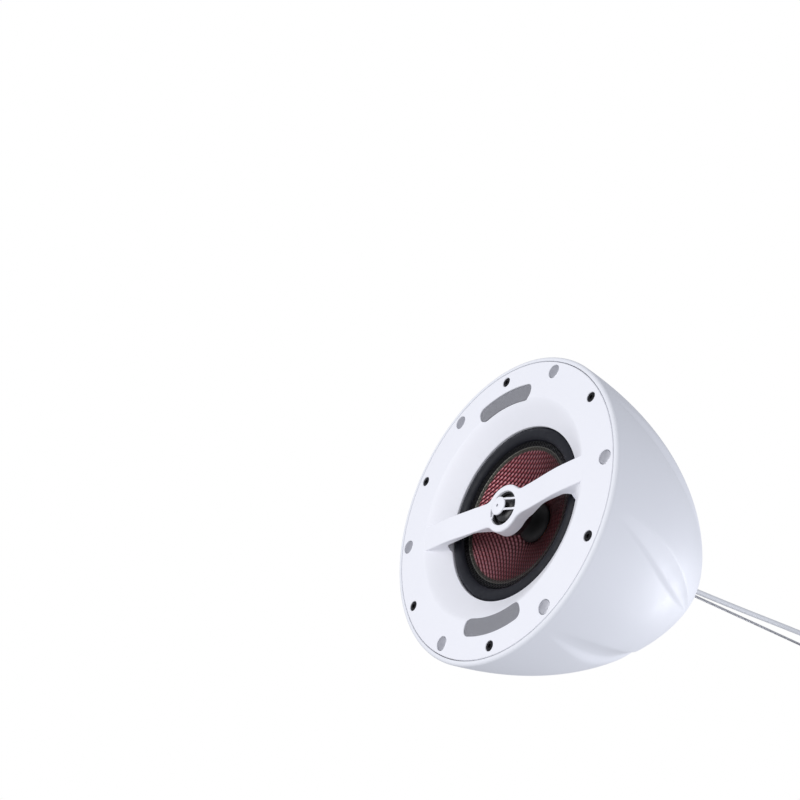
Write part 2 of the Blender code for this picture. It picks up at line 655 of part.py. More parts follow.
def make_baffle():
    baffle = turned("baffle", baffle_profile(), WHITE_ABS, steps=38)

    near = [HUB_R * share for share in (0.5, 0.74, 0.84, 0.96, 1.15)]
    far = [DISH_R + ARM_RUN_OUT * share for share in (-1.2, -0.2, 1.0)]
    root = [OPENING_R - ARM_ROOT_R * share for share in (2.0, 1.0, 0.45, 0.0)]
    half = near + root + [SEAT_RING_R] + far
    stations = [-x for x in reversed(half)] + half
    bridge = loft("bridge_form", [arm_section(x) for x in stations])
    hub = turned("hub_form", [(0.0, HUB_FRONT_Z), (HUB_R - HUB_EDGE, HUB_FRONT_Z),
                              (HUB_R, HUB_FRONT_Z + HUB_EDGE), (HUB_R, HUB_BACK_Z), (0.0, HUB_BACK_Z)],
                 steps=28)
    combine(baffle, [bridge, hub], "UNION")

    pocket_r = TWEETER_R + SEAT
    pocket_z = HUB_FRONT_Z + HUB_MOUTH_THICK
    bore = turned("hub_bore", [(0.0, -OVERCUT), (HUB_MOUTH_R, -OVERCUT), (HUB_MOUTH_R, pocket_z),
                               (pocket_r, pocket_z), (pocket_r, HUB_BACK_Z + OVERCUT),
                               (0.0, HUB_BACK_Z + OVERCUT)], steps=28)
    slots = [prism("slot", arc_slot(SLOT_IN_R, SLOT_OUT_R, SLOT_HALF_ANGLE, SLOT_CORNER_R, middle),
                   -OVERCUT, FLANGE_THICK + OVERCUT) for middle in (math.pi / 2, -math.pi / 2)]
    holes = []
    for angle in screw_angles():
        profile = [(0.0, -OVERCUT), (SCREW_HEAD_HOLE_R, -OVERCUT),
                   (SCREW_HEAD_HOLE_R, SCREW_HEAD_HOLE_DEPTH),
                   (SCREW_SHANK_R + 2 * SEAT, SCREW_HEAD_HOLE_DEPTH),
                   (SCREW_SHANK_R + 2 * SEAT, FLANGE_THICK + OVERCUT), (0.0, FLANGE_THICK + OVERCUT)]
        at = (*polar(HOLE_CIRCLE_R, angle), 0.0)
        holes.append(turned("screw_hole", profile, steps=8, at=at))
    pocket = circle(MAGNET_R + SEAT, 10, start=math.pi / 10)
    pocket_depth = MAGNET_INSET + MAGNET_THICK + SEAT
    for angle in magnet_angles():
        at = (*polar(HOLE_CIRCLE_R, angle), 0.0)
        holes.append(prism("magnet_pocket", pocket, -OVERCUT, pocket_depth, at=at))
    combine(baffle, [joined("baffle_cuts", [bore] + slots + holes)], "DIFFERENCE")

    outline = ((0.60, 0.10), (0.93, 0.30), (1.00, 0.60), (1.00, 1.00))
    disc = [(GUARD_DOT_R, GUARD_FRONT_Z)]
    disc += [(GUARD_R * across, GUARD_FRONT_Z + GUARD_THICK * back) for across, back in outline]
    disc = turned("guard_disc", disc + [(GUARD_DOT_R, GUARD_FRONT_Z + GUARD_THICK)], steps=20)
    bars = []
    end_x = math.sqrt(HUB_MOUTH_R ** 2 - GUARD_BAR_Y ** 2) + GUARD_BAR_LAP
    start_x = GUARD_R * 0.55
    fall = HUB_FRONT_Z + GUARD_BAR_SINK - GUARD_FRONT_Z - GUARD_BAR_SET
    for side in (-1, 1):
        rings = []
        for i in range(7):
            x = end_x * (i / 3.0 - 1.0)
            front = GUARD_FRONT_Z + GUARD_BAR_SET + fall * ease((abs(x) - start_x) / (end_x - start_x))
            back = front + GUARD_BAR_THICK
            y0 = side * GUARD_BAR_Y - GUARD_BAR_WIDTH / 2
            y1 = y0 + GUARD_BAR_WIDTH
            rings.append([(x, y0, front), (x, y1, front), (x, y1, back), (x, y0, back)])
        bars.append(loft("guard_bar", rings))
    combine(baffle, [disc, joined("guard_bars", bars)], "UNION")

    bosses, pilots = [], []
    for angle in driver_screw_angles():
        x, y = polar(DRIVER_SCREW_R, angle)
        bosses.append(prism("driver_boss", circle(DRIVER_BOSS_R, 8), FLANGE_THICK - SINK,
                            BASKET_Z - SEAT, at=(x, y, 0.0)))
        pilots.append(prism("driver_pilot", circle(DRIVER_PILOT_R, 6), FLANGE_THICK + DRIVER_PILOT_FLOOR,
                            BASKET_Z + OVERCUT, at=(x, y, 0.0)))
    channel = box("lead_channel", (-BASKET_R - WIRE_R, -CHANNEL_WIDTH / 2, ARM_BACK_Z - CHANNEL_DEPTH),
                  (-HUB_R - WIRE_R, CHANNEL_WIDTH / 2, ARM_BACK_Z + OVERCUT))
    combine(baffle, [joined("driver_bosses", bosses)], "UNION")
    combine(baffle, [joined("driver_pilots", pilots + [channel])], "DIFFERENCE")


def finished_mesh(obj):
    """The mesh of a guide with its modifiers applied, for copies that share it."""
    bpy.context.view_layer.update()
    mesh = bpy.data.meshes.new_from_object(obj.evaluated_get(bpy.context.evaluated_depsgraph_get()))
    bpy.data.objects.remove(obj, do_unlink=True)
    return mesh


def screw_mesh(name, head_r, head_z, shank_z, shank_r, end_z):
    """A socket screw along Z: the head's face at head_z, its seat at shank_z, its point at end_z."""
    away = 1.0 if end_z > head_z else -1.0
    height = abs(shank_z - head_z)
    profile = [(0.0, head_z), (head_r * 0.8, head_z), (head_r, head_z + away * height * 0.35),
               (head_r, shank_z), (shank_r, shank_z), (shank_r, end_z), (0.0, end_z)]
    body = turned(name + "_form", profile, steps=8)
    low, high = sorted((head_z - away * OVERCUT, head_z + away * height * 0.55))
    socket = prism(name + "_socket", circle(head_r * 0.42, 6), low, high)
    combine(body, [socket], "DIFFERENCE")
    mesh = finished_mesh(body)
    bpy.data.objects.remove(socket, do_unlink=True)
    mesh.name = name
    return mesh


def make_face_fittings():
    point = LEDGE_BACK_Z + BOSS_HEIGHT - BOSS_FLOOR - TIP_GAP
    mesh = screw_mesh("baffle_screw", SCREW_HEAD_HOLE_R - SEAT, SCREW_HEAD_INSET,
                      SCREW_HEAD_HOLE_DEPTH - SEAT, SCREW_SHANK_R, point)
    for i, angle in enumerate(screw_angles(), 1):
        finish(f"baffle_screw_{i}", mesh.copy(), BLACK_STEEL, (*polar(HOLE_CIRCLE_R, angle), 0.0))
    disc = [(0.0, MAGNET_INSET), (MAGNET_R - MAGNET_EDGE, MAGNET_INSET),
            (MAGNET_R, MAGNET_INSET + MAGNET_EDGE), (MAGNET_R, MAGNET_INSET + MAGNET_THICK),
            (0.0, MAGNET_INSET + MAGNET_THICK)]
    for i, angle in enumerate(magnet_angles(), 1):
        turned(f"grille_magnet_{i}", disc, NICKEL, steps=10, at=(*polar(HOLE_CIRCLE_R, angle), 0.0))
    low = FLANGE_THICK + SEAT
    holes = [circle(SCREW_SHANK_R + SHANK_GAP, 6, polar(HOLE_CIRCLE_R, a)) for a in screw_angles()]
    rim = [circle(BAFFLE_R - SEAT, 28), circle(LEDGE_IN_R + 2 * SEAT, 28)]
    flat("baffle_gasket", rim + holes, low, low + BAFFLE_GASKET_THICK, FOAM)


def make_ports():
    top = FLANGE_THICK + SEAT
    for i, middle in enumerate((math.pi / 2, -math.pi / 2), 1):
        slot = (SLOT_IN_R, SLOT_OUT_R, SLOT_HALF_ANGLE, SLOT_CORNER_R, middle)
        flat(f"port_duct_{i}", [arc_slot(*slot, grow=DUCT_WALL), arc_slot(*slot)],
             top, top + DUCT_LENGTH, BLACK_PLASTIC)
        flat(f"port_screen_{i}", [arc_slot(*slot, grow=-SEAT)], top + SEAT,
             top + SEAT + SCREEN_THICK, SCREEN_LOOK)


# Woofer

CONE_R = OPENING_R - ROLL_WIDTH
ROLL_MIDDLE_R = OPENING_R - ROLL_WIDTH / 2 + ROLL_OUT
BASKET_WALL_R = SPIDER_R - SPIDER_SEAT + BASKET_THICK
TAG_Z = SPIDER_Z + BASKET_THICK + SPIDER_THICK + 2 * SEAT
FERRITE_R = TOP_PLATE_R + FERRITE_OVERHANG
FLOOR_BACK_Z = FLOOR_Z + BASKET_THICK
TOP_PLATE_Z = FLOOR_BACK_Z + SEAT
FERRITE_Z = TOP_PLATE_Z + TOP_PLATE_THICK + SEAT
YOKE_Z = FERRITE_Z + FERRITE_THICK + SEAT
COIL_OUT_R = COIL_IN_R + COIL_WALL
NECK_R = COIL_OUT_R + SEAT
CONE = ((CONE_R, CONE_EDGE_Z), (CONE_R - CONE_EDGE_RUN, CONE_EDGE_Z + CONE_EDGE_FALL),
        (NECK_R + CONE_NECK_RUN, CONE_NECK_Z - CONE_NECK_RUN), (NECK_R, CONE_NECK_Z))


def cone_front(r):
    """The height of the cone's front at a radius."""
    low, high = 0.0, 1.0
    for _ in range(30):
        middle = (low + high) / 2.0
        if bezier(CONE, middle)[0] > r:
            low = middle
        else:
            high = middle
    return bezier(CONE, low)[1]


def make_basket():
    t = BASKET_THICK
    seat_r, seat_z = SPIDER_R - SPIDER_SEAT, SPIDER_Z + SPIDER_THICK + SEAT
    mouth, hole_r = OPENING_R + BASKET_MOUTH_OUT, COIL_OUT_R + FLOOR_HOLE_OUT
    profile = [(BASKET_R, BASKET_Z), (BASKET_R, BASKET_Z + t), (mouth + 1.5 * t, BASKET_Z + t),
               (mouth + 0.65 * t, BASKET_Z + 3.35 * t), (SPIDER_R + 2.75 * t, SPIDER_Z - 0.3 * t),
               (SPIDER_R + 0.5 * t, seat_z + t), (seat_r + t, seat_z + t), (seat_r + t, FLOOR_BACK_Z),
               (hole_r, FLOOR_BACK_Z), (hole_r, FLOOR_Z), (seat_r, FLOOR_Z), (seat_r, seat_z),
               (SPIDER_R, seat_z), (SPIDER_R + 1.75 * t, SPIDER_Z - 1.3 * t),
               (mouth - 0.5 * t, BASKET_Z + 2.55 * t), (mouth, BASKET_Z)]
    basket = turned("woofer_basket", profile, BLACK_STEEL, steps=20)
    low_r, high_r = SPIDER_R + 5.5 * t, mouth - 3 * t
    corner = (high_r - low_r) * WINDOW_CORNER
    cuts = []
    for i in range(4):
        window = arc_slot(low_r, high_r, WINDOW_HALF_ANGLE, corner, math.radians(90.0 * i))
        cuts.append(prism("window", window, BASKET_Z + 2 * t, SPIDER_Z + 6 * t))
    ear_hole = circle(DRIVER_PILOT_R + SEAT, 8)
    for angle in driver_screw_angles():
        at = (*polar(DRIVER_SCREW_R, angle), 0.0)
        cuts.append(prism("ear_hole", ear_hole, BASKET_Z - OVERCUT, BASKET_Z + t + OVERCUT, at=at))
    combine(basket, [joined("basket_cuts", cuts)], "DIFFERENCE")

    head = BASKET_Z + t + SEAT
    mesh = screw_mesh("basket_screw", DRIVER_HEAD_R, head + DRIVER_HEAD_HEIGHT, head,
                      DRIVER_PILOT_R - SEAT, FLANGE_THICK + DRIVER_PILOT_FLOOR + TIP_GAP)
    for i, angle in enumerate(driver_screw_angles(), 1):
        finish(f"basket_screw_{i}", mesh.copy(), BLACK_STEEL, (*polar(DRIVER_SCREW_R, angle), 0.0))
    outer_r = OPENING_R + ROLL_OUT + SURROUND_LIP
    flat("woofer_gasket", [circle(outer_r, 24), circle(OPENING_R + 2 * SEAT, 24)], GASKET_Z,
         GASKET_Z + WOOFER_GASKET_THICK, FOAM)


def make_surround():
    """A half roll with a flat lip under the gasket and an inner lip glued behind the cone."""
    half = ROLL_WIDTH / 2
    lip_r = ROLL_MIDDLE_R + half + SURROUND_LIP
    foot = SURROUND_LIP_Z + RUBBER

    def roll(grow, count=5):
        turn = [math.pi * i / (count - 1) for i in range(count)]
        return [(ROLL_MIDDLE_R + (half + grow) * math.cos(a), foot - (ROLL_HEIGHT + grow) * math.sin(a))
                for a in turn]

    outer, inner = roll(0.0), roll(-RUBBER)
    behind = CONE_THICK + 2 * SEAT
    lip_radii = (CONE_R - SEAT, CONE_R - SEAT - INNER_LIP)
    lip = [(r, cone_front(r) + behind) for r in lip_radii]
    under = [(r, z + RUBBER) for r, z in reversed(lip)]
    profile = [(lip_r, foot), (lip_r, SURROUND_LIP_Z), (outer[0][0], SURROUND_LIP_Z)]
    profile += outer[1:-1] + [(outer[-1][0], foot - RUBBER / 2)] + lip + under
    profile += list(reversed(inner))
    turned("woofer_surround", profile, RUBBER_LOOK)


def make_cone():
    front = [bezier(CONE, i / 5) for i in range(6)]
    back = [(r, z + CONE_THICK) for r, z in front]
    turned("woofer_cone", front + back[::-1], CONE_LOOK)
    rim_z = cone_front(CAP_R) - SEAT
    cap = []
    for i in range(4):
        a = math.pi / 2 * i / 3
        cap.append((CAP_R * math.sin(a), rim_z - SEAT - CAP_HEIGHT * math.cos(a)))
    inside = [(r * (1.0 - CAP_LIP / CAP_R), z + CAP_FILM) for r, z in cap[:-1]]
    turned("dust_cap", cap + [(CAP_R - CAP_LIP, rim_z)] + inside[::-1], BLACK_PLASTIC, steps=16)
    top = CONE_NECK_Z - COIL_LAP
    turned("voice_coil", [(COIL_IN_R, top), (COIL_OUT_R, top), (COIL_OUT_R, top + COIL_LENGTH),
                          (COIL_IN_R, top + COIL_LENGTH)], COPPER, steps=20)


def make_spider():
    """A corrugated disc of treated cloth, from the voice coil to the basket's ledge."""
    inner, waves = NECK_R + SEAT, 3
    steps = waves * 2
    run_out = SPIDER_R - SPIDER_SEAT - SPIDER_WAVE

    def line(lift):
        points = [(SPIDER_R - SEAT, SPIDER_Z + lift)]
        for i in range(steps + 1):
            r = run_out + (inner + SPIDER_COLLAR - run_out) * i / steps
            points.append((r, SPIDER_Z + lift + SPIDER_WAVE * (i % 2)))
        return points + [(inner, SPIDER_Z + lift)]

    turned("spider", line(0.0) + line(SPIDER_THICK)[::-1], CLOTH, steps=16)


def make_motor():
    bore = COIL_OUT_R + COIL_GAP
    pole = COIL_IN_R - COIL_GAP
    top_back = TOP_PLATE_Z + TOP_PLATE_THICK
    turned("top_plate", [(bore, TOP_PLATE_Z), (TOP_PLATE_R, TOP_PLATE_Z), (TOP_PLATE_R, top_back),
                         (bore, top_back)], STEEL)
    edge = FERRITE_EDGE
    turned("ferrite_magnet", [(FERRITE_IN_R, FERRITE_Z), (FERRITE_R - edge, FERRITE_Z),
                              (FERRITE_R, FERRITE_Z + edge), (FERRITE_R, FERRITE_Z + FERRITE_THICK - edge),
                              (FERRITE_R - edge, FERRITE_Z + FERRITE_THICK),
                              (FERRITE_IN_R, FERRITE_Z + FERRITE_THICK)], FERRITE_LOOK)
    back = YOKE_Z + YOKE_THICK
    turned("yoke", [(VENT_R, TOP_PLATE_Z), (pole, TOP_PLATE_Z), (pole, YOKE_Z), (TOP_PLATE_R, YOKE_Z),
                    (TOP_PLATE_R, back), (VENT_R, back)], STEEL)
    wall = -BASKET_WALL_R - SEAT
    strip = box("terminal_tag", (-TAG_WIDTH / 2, wall - TAG_THICK, TAG_Z),
                (TAG_WIDTH / 2, wall, TAG_Z + TAG_HEIGHT), BLACK_PLASTIC)
    low, high = TAG_Z + LUG_UP, TAG_Z + LUG_UP + LUG_THICK
    tags = [box("tag", (x - LUG_WIDTH / 2, wall - TAG_THICK - LUG_REACH, low),
                (x + LUG_WIDTH / 2, wall - TAG_THICK / 2, high)) for x in (-LUG_X, LUG_X)]
    combine(strip, [joined("tags", tags)], "UNION")


# Tweeter in the hub

TWEETER_Z = HUB_FRONT_Z + HUB_MOUTH_THICK + SEAT
DOME_Z = TWEETER_Z + TWEETER_PLATE_THICK + SEAT
TWEETER_YOKE_Z = DOME_Z + DOME_FILM + SEAT
TWEETER_YOKE_BACK = TWEETER_YOKE_Z + TWEETER_DEPTH


def make_tweeter():
    mouth = DOME_R + HUB_MOUTH_OUT / 2
    back = TWEETER_Z + TWEETER_PLATE_THICK
    turned("tweeter_plate", [(mouth, TWEETER_Z), (TWEETER_R, TWEETER_Z), (TWEETER_R, back),
                             (mouth + WIRE_GAP, back)], BLACK_PLASTIC, steps=20)
    crown = [(DOME_R * math.sin(a), DOME_Z - DOME_HEIGHT * math.cos(a))
             for a in (math.pi / 2 * i / 4 for i in range(5))]
    under = [(r * (1.0 - DOME_FILM / DOME_R), z + DOME_FILM) for r, z in crown[:-1]]
    inner_r, outer_r, film_z = DOME_R - SEAT, DOME_R + SINK, DOME_Z + DOME_FILM
    coil_end = film_z + TWEETER_COIL_LENGTH
    coil = [(outer_r, film_z), (outer_r, coil_end), (inner_r, coil_end), (inner_r, film_z)]
    turned("tweeter_dome", crown + [(TWEETER_R, DOME_Z), (TWEETER_R, film_z)] + coil + under[::-1],
           BLACK_SILK, steps=16)

    gap_r = outer_r + 2 * SEAT
    cup_r, cup_mouth, cup_floor = gap_r + TIP_GAP, coil_end + SEAT, TWEETER_YOKE_BACK - TWEETER_BACK
    turned("tweeter_yoke", [(0.0, cup_floor), (cup_r, cup_floor), (cup_r, cup_mouth), (gap_r, cup_mouth),
                            (gap_r, TWEETER_YOKE_Z), (TWEETER_R, TWEETER_YOKE_Z),
                            (TWEETER_R, TWEETER_YOKE_BACK), (0.0, TWEETER_YOKE_BACK)], BLACK_STEEL,
           steps=16)
    magnet_r, magnet_back = DOME_R - TWEETER_MAGNET_INSET, cup_floor - SEAT
    magnet_z = magnet_back - TWEETER_MAGNET_THICK
    turned("tweeter_magnet", [(0.0, magnet_z), (magnet_r, magnet_z), (magnet_r, magnet_back),
                              (0.0, magnet_back)], NICKEL, steps=16)
    pole_r, pole_z = DOME_R - TWEETER_POLE_INSET, TWEETER_YOKE_Z + TWEETER_POLE_DROP
    turned("tweeter_pole", [(0.0, pole_z), (pole_r, pole_z), (pole_r, magnet_z - SEAT),
                            (0.0, magnet_z - SEAT)], STEEL, steps=16)
    low = TWEETER_YOKE_BACK + SEAT
    edge, top = TWEETER_CAP_EDGE, low + TWEETER_CAP_THICK
    turned("tweeter_cap", [(0.0, low), (TWEETER_CAP_R, low), (TWEETER_CAP_R, top - edge),
                           (TWEETER_CAP_R - edge, top), (0.0, top)], BLACK_PLASTIC, steps=16)

    # The lead leaves the cap, lies in the arm's channel and goes round the basket to the board.
    wire_z = ARM_BACK_Z - TWEETER_WIRE_R - SEAT
    side_r, round_y = BASKET_R + 4 * TWEETER_WIRE_R, BRACKET_WIDTH / 2 + TWEETER_WIRE_R
    board_end = BOARD_X - BOARD_LENGTH / 2
    cap_z = low + TWEETER_CAP_THICK / 2
    knots = [(-TWEETER_CAP_R - SEAT, 0.0, cap_z), (-HUB_R * 0.93, 0.0, cap_z),
             (-HUB_R * 1.13, 0.0, low - HUB_WALL * 1.5), (-HUB_R * 1.22, 0.0, wire_z + 4 * TWEETER_WIRE_R),
             (-HUB_R * 1.4, 0.0, wire_z + TWEETER_WIRE_R / 2), (-HUB_R * 1.9, 0.0, wire_z),
             (-OPENING_R * 0.7, 0.0, wire_z), (-OPENING_R * 0.9, 0.0, wire_z),
             (-SEAT_RING_R, 0.0, wire_z + TWEETER_WIRE_R / 2), (-BASKET_R, 0.0, wire_z + 3 * TWEETER_WIRE_R),
             (-side_r, 0.0, BASKET_Z - TWEETER_WIRE_R), (-side_r, 0.0, SPIDER_Z * 0.68),
             (-BASKET_R, 0.0, SPIDER_Z * 1.12), (-BASKET_R * 0.89, round_y * 0.4, YOKE_Z - YOKE_THICK),
             (-BRACKET_LENGTH * 0.54, round_y, BOARD_Z), (CORE_X * 0.77, round_y, BOARD_TOP + CAN_R),
             (board_end - 4 * WIRE_R, round_y * 0.87, BOARD_TOP + CAN_R),
             (board_end + 3 * WIRE_R, CAN_Y, BOARD_TOP + WIRE_R)]
    tube("tweeter_lead", smooth_route(knots, 32), TWEETER_WIRE_R, RED_WIRE, resolution=1)


# Transformer and crossover on the bracket behind the magnet

BRACKET_Z = YOKE_Z + YOKE_THICK + SEAT
CORE_Z = BRACKET_Z + BRACKET_THICK + SEAT
BOARD_Z = BRACKET_Z + BRACKET_THICK + STANDOFF_HEIGHT + SEAT
BOARD_TOP = BOARD_Z + BOARD_THICK
BLOCK_TOP = BOARD_TOP + SEAT + BLOCK_HEIGHT


def make_bracket():
    length, width = BRACKET_LENGTH / 2 - BRACKET_CORNER_R, BRACKET_WIDTH / 2 - BRACKET_CORNER_R
    outline = []
    for sx, sy, start in ((1, 1, 0), (-1, 1, 90), (-1, -1, 180), (1, -1, 270)):
        for step in range(3):
            x, y = polar(BRACKET_CORNER_R, math.radians(start + 45 * step))
            outline.append((sx * length + x, sy * width + y))
    plate = prism("transformer_bracket", outline, BRACKET_Z, BRACKET_Z + BRACKET_THICK, STEEL)
    inside = BRACKET_Z + BRACKET_THICK / 2
    core_end = CORE_WIDTH / 2 + SEAT
    ears = [box("ear", (x, -EAR_WIDTH / 2, inside), (x + BRACKET_THICK, EAR_WIDTH / 2, CORE_Z + EAR_HEIGHT))
            for x in (CORE_X - core_end - BRACKET_THICK, CORE_X + core_end)]
    post_x, post_y = BOARD_LENGTH / 2 - STANDOFF_INSET, BOARD_WIDTH / 2 - STANDOFF_INSET
    posts = [prism("post", circle(STANDOFF_R, 8, (BOARD_X + sx * post_x, sy * post_y)), inside,
                   BOARD_Z - SEAT) for sx in (-1, 1) for sy in (-1, 1)]
    combine(plate, [joined("bracket_ears", ears + posts)], "UNION")


def make_transformer():
    leg = CORE_WIDTH / 6
    low, high = CORE_Z, CORE_Z + CORE_HEIGHT
    core = box("transformer_core", (CORE_X - CORE_WIDTH / 2, -CORE_DEPTH / 2, low),
               (CORE_X + CORE_WIDTH / 2, CORE_DEPTH / 2, high), STEEL)
    windows = [box("core_window", (x, -CORE_DEPTH, low + leg), (x + leg, CORE_DEPTH, high - leg))
               for x in (CORE_X - 2 * leg, CORE_X + leg)]
    combine(core, [joined("core_windows", windows)], "DIFFERENCE")
    coil = box("transformer_coil", (CORE_X - 2 * leg + SEAT, -CORE_DEPTH / 2 - leg, low + leg + SEAT),
               (CORE_X + 2 * leg - SEAT, CORE_DEPTH / 2 + leg, high - leg - SEAT), CLOTH)
    through = box("coil_hole", (CORE_X - leg - SEAT, -CORE_DEPTH / 2 - SEAT, low),
                  (CORE_X + leg + SEAT, CORE_DEPTH / 2 + SEAT, high))
    combine(coil, [through], "DIFFERENCE")


def make_board():
    box("crossover_board", (BOARD_X - BOARD_LENGTH / 2, -BOARD_WIDTH / 2, BOARD_Z),
        (BOARD_X + BOARD_LENGTH / 2, BOARD_WIDTH / 2, BOARD_TOP), BOARD_LOOK)
    seat = BOARD_TOP + SEAT
    turned("inductor", [(INDUCTOR_IN_R, seat), (INDUCTOR_R, seat), (INDUCTOR_R, seat + INDUCTOR_HEIGHT),
                        (INDUCTOR_IN_R, seat + INDUCTOR_HEIGHT)], COPPER, steps=16,
           at=(BOARD_X + INDUCTOR_X, INDUCTOR_Y, 0.0))
    inset = CAN_R - CAN_EDGE
    can = turned("capacitor", [(0.0, 0.0), (inset, 0.0), (CAN_R, CAN_EDGE), (CAN_R, CAN_LENGTH - CAN_EDGE),
                               (inset, CAN_LENGTH), (0.0, CAN_LENGTH)], BLACK_PLASTIC, steps=16,
                 at=(BOARD_X + CAN_X, CAN_Y, seat + CAN_R))
    can.rotation_euler = (math.radians(90.0), 0.0, 0.0)
    x, y = BOARD_X + BLOCK_X, BLOCK_Y
    block = box("terminal_block", (x - BLOCK_LENGTH / 2, y - BLOCK_WIDTH / 2, seat),
                (x + BLOCK_LENGTH / 2, y + BLOCK_WIDTH / 2, BLOCK_TOP), WHITE_PVC)
    wells = [prism("well", circle(WELL_R, 8, (x + WELL_PITCH * place, y)), BLOCK_TOP - WELL_DEPTH,
                   BLOCK_TOP + OVERCUT) for place in (-1.5, -0.5, 1.5)]
    combine(block, [joined("wells", wells)], "DIFFERENCE")


def make_leads():
    """The wires inside the bell: from the tags to the board, and from the block to the crown."""
    wall, tag_z = BASKET_WALL_R + SEAT + TAG_THICK + LUG_REACH, TAG_Z + LUG_UP + LUG_THICK / 2
    round_y = FERRITE_R + 9 * WIRE_R
    block_side = BLOCK_Y - BLOCK_WIDTH / 2
    x = (BOARD_X - BOARD_LENGTH / 2) + 5 * WIRE_R
    knots = [(LUG_X, -wall - WIRE_R - SEAT, tag_z), (x * 0.6, -round_y, tag_z + 4 * WIRE_R),
             (x * 0.8, -round_y - 4 * WIRE_R, FERRITE_Z), (x, -round_y, YOKE_Z + YOKE_THICK / 2),
             (x * 1.1, block_side * 1.8, BOARD_TOP + 2 * WIRE_R),
             (x * 1.05, block_side * 1.16, BOARD_TOP + 4 * WIRE_R),
             (x, block_side * 0.9, BOARD_TOP + WIRE_R)]
    tube("woofer_lead", smooth_route(knots, 16), WIRE_R, RED_WIRE, resolution=1)

    well_x, climb = BOARD_X + BLOCK_X + WELL_PITCH / 2, CROWN_INSIDE_Z - BLOCK_TOP
    knots = [(0.0, LEAD_Y, CROWN_INSIDE_Z - SEAT), (0.0, LEAD_Y, CROWN_INSIDE_Z - 2 * PLATE_THICK),
             (0.0, LEAD_Y * 1.2, CROWN_INSIDE_Z - climb * 0.12),
             (well_x * 0.18, BLOCK_Y * 0.83, CROWN_INSIDE_Z - climb * 0.31),
             (well_x * 0.66, BLOCK_Y * 1.38, CROWN_INSIDE_Z - climb * 0.54),
             (well_x, BLOCK_Y * 1.31, CROWN_INSIDE_Z - climb * 0.78),
             (well_x, BLOCK_Y, CROWN_INSIDE_Z - climb * 0.91), (well_x, BLOCK_Y, BLOCK_TOP + SEAT)]
    tube("lead_tail", smooth_route(knots, 16), LEAD_R, WHITE_PVC)


# Hanging gear, from the crown to the ceiling

PLATE_TOP_Z = CROWN_INSIDE_Z - SEAT
PLATE_LOW_Z = PLATE_TOP_Z - PLATE_THICK
STOPPER_TOP_Z = PLATE_LOW_Z - SEAT
STOPPER_LOW_Z = STOPPER_TOP_Z - STOPPER_LENGTH
ANCHOR_TOP_Z = CEILING_Z - CEILING_PLATE_THICK - SEAT
ANCHOR_LOW_Z = CUP_Z - ANCHOR_NOSE
ROPE_TOP_Z = CUP_Z + ROPE_IN_CUP
ROPE_HOLE_R = ROPE_R + SEAT
LEAD_HOLE_R = LEAD_R + SEAT


def lead_route():
    """The lead's middle line, from inside the crown to the ceiling plate."""
    shares = ((0.02, 0.0), (0.14, 0.09), (0.39, 0.34), (0.66, 0.68), (0.91, 0.955), (0.99, 1.0))
    knots = [(0.0, LEAD_Y, CROWN_INSIDE_Z)]
    knots += [(0.0, LEAD_Y + (LEAD_TOP_Y - LEAD_Y) * across, HOUSING_H + ROPE_FREE * up)
              for up, across in shares]
    knots += [(0.0, LEAD_TOP_Y, CUP_Z + CUP_HEIGHT * 0.4), (0.0, LEAD_TOP_Y, CEILING_Z - SEAT)]
    return smooth_route(knots, 18)


def make_hanging_gear():
    flange_z = HOUSING_H - GROMMET_FLANGE_THICK
    grommet = turned("cable_grommet",
                     [(0.0, HOUSING_H), (GROMMET_FLANGE_R - GROMMET_EDGE, HOUSING_H),
                      (GROMMET_FLANGE_R, HOUSING_H - GROMMET_EDGE), (GROMMET_FLANGE_R, flange_z),
                      (GROMMET_R, flange_z), (GROMMET_R, CROWN_INSIDE_Z), (0.0, CROWN_INSIDE_Z)],
                     WHITE_PVC, steps=16)
    entry = prism("grommet_entry", stadium(LEAD_HOLE_R, LEAD_Y, GROMMET_SLOT_Y), CROWN_INSIDE_Z - OVERCUT,
                  HOUSING_H + OVERCUT)
    combine(grommet, [entry], "DIFFERENCE")
    flat("suspension_plate", [circle(PLATE_R, 18), circle(ROPE_HOLE_R, 8),
                              circle(LEAD_HOLE_R, 12, (0.0, LEAD_Y))],
         PLATE_LOW_Z, PLATE_TOP_Z, STEEL)
    edge = FITTING_EDGE
    turned("rope_stopper", [(ROPE_HOLE_R, STOPPER_LOW_Z), (ROPE_HOLE_R, STOPPER_TOP_Z),
                            (STOPPER_R, STOPPER_TOP_Z), (STOPPER_R, STOPPER_LOW_Z + edge),
                            (STOPPER_R - edge, STOPPER_LOW_Z)], NICKEL, steps=12)
    count = 12
    low = STOPPER_LOW_Z - FITTING_EDGE
    rope = [(0.0, 0.0, low + (ROPE_TOP_Z - low) * i / (count - 1)) for i in range(count)]
    tube("steel_rope", rope, ROPE_R, STEEL)
    tube("speaker_lead", lead_route(), LEAD_R, WHITE_PVC)

    turned("rope_anchor", [(0.0, ROPE_TOP_Z + SEAT), (ROPE_HOLE_R, ROPE_TOP_Z + SEAT),
                           (ROPE_HOLE_R, ANCHOR_LOW_Z), (ANCHOR_R - edge, ANCHOR_LOW_Z),
                           (ANCHOR_R, ANCHOR_LOW_Z + edge), (ANCHOR_R, ANCHOR_TOP_Z - ANCHOR_FOOT_THICK),
                           (ANCHOR_FOOT_R, ANCHOR_TOP_Z - ANCHOR_FOOT_THICK), (ANCHOR_FOOT_R, ANCHOR_TOP_Z),
                           (0.0, ANCHOR_TOP_Z)], NICKEL, steps=16)
    bore = ANCHOR_R + SEAT
    top, low = CUP_Z - SEAT, CUP_Z - SEAT - COLLAR_HEIGHT
    turned("cup_collar", [(bore, low), (COLLAR_R - edge, low), (COLLAR_R, low + edge), (COLLAR_R, top),
                          (bore, top)], WHITE_PAINT, steps=16)


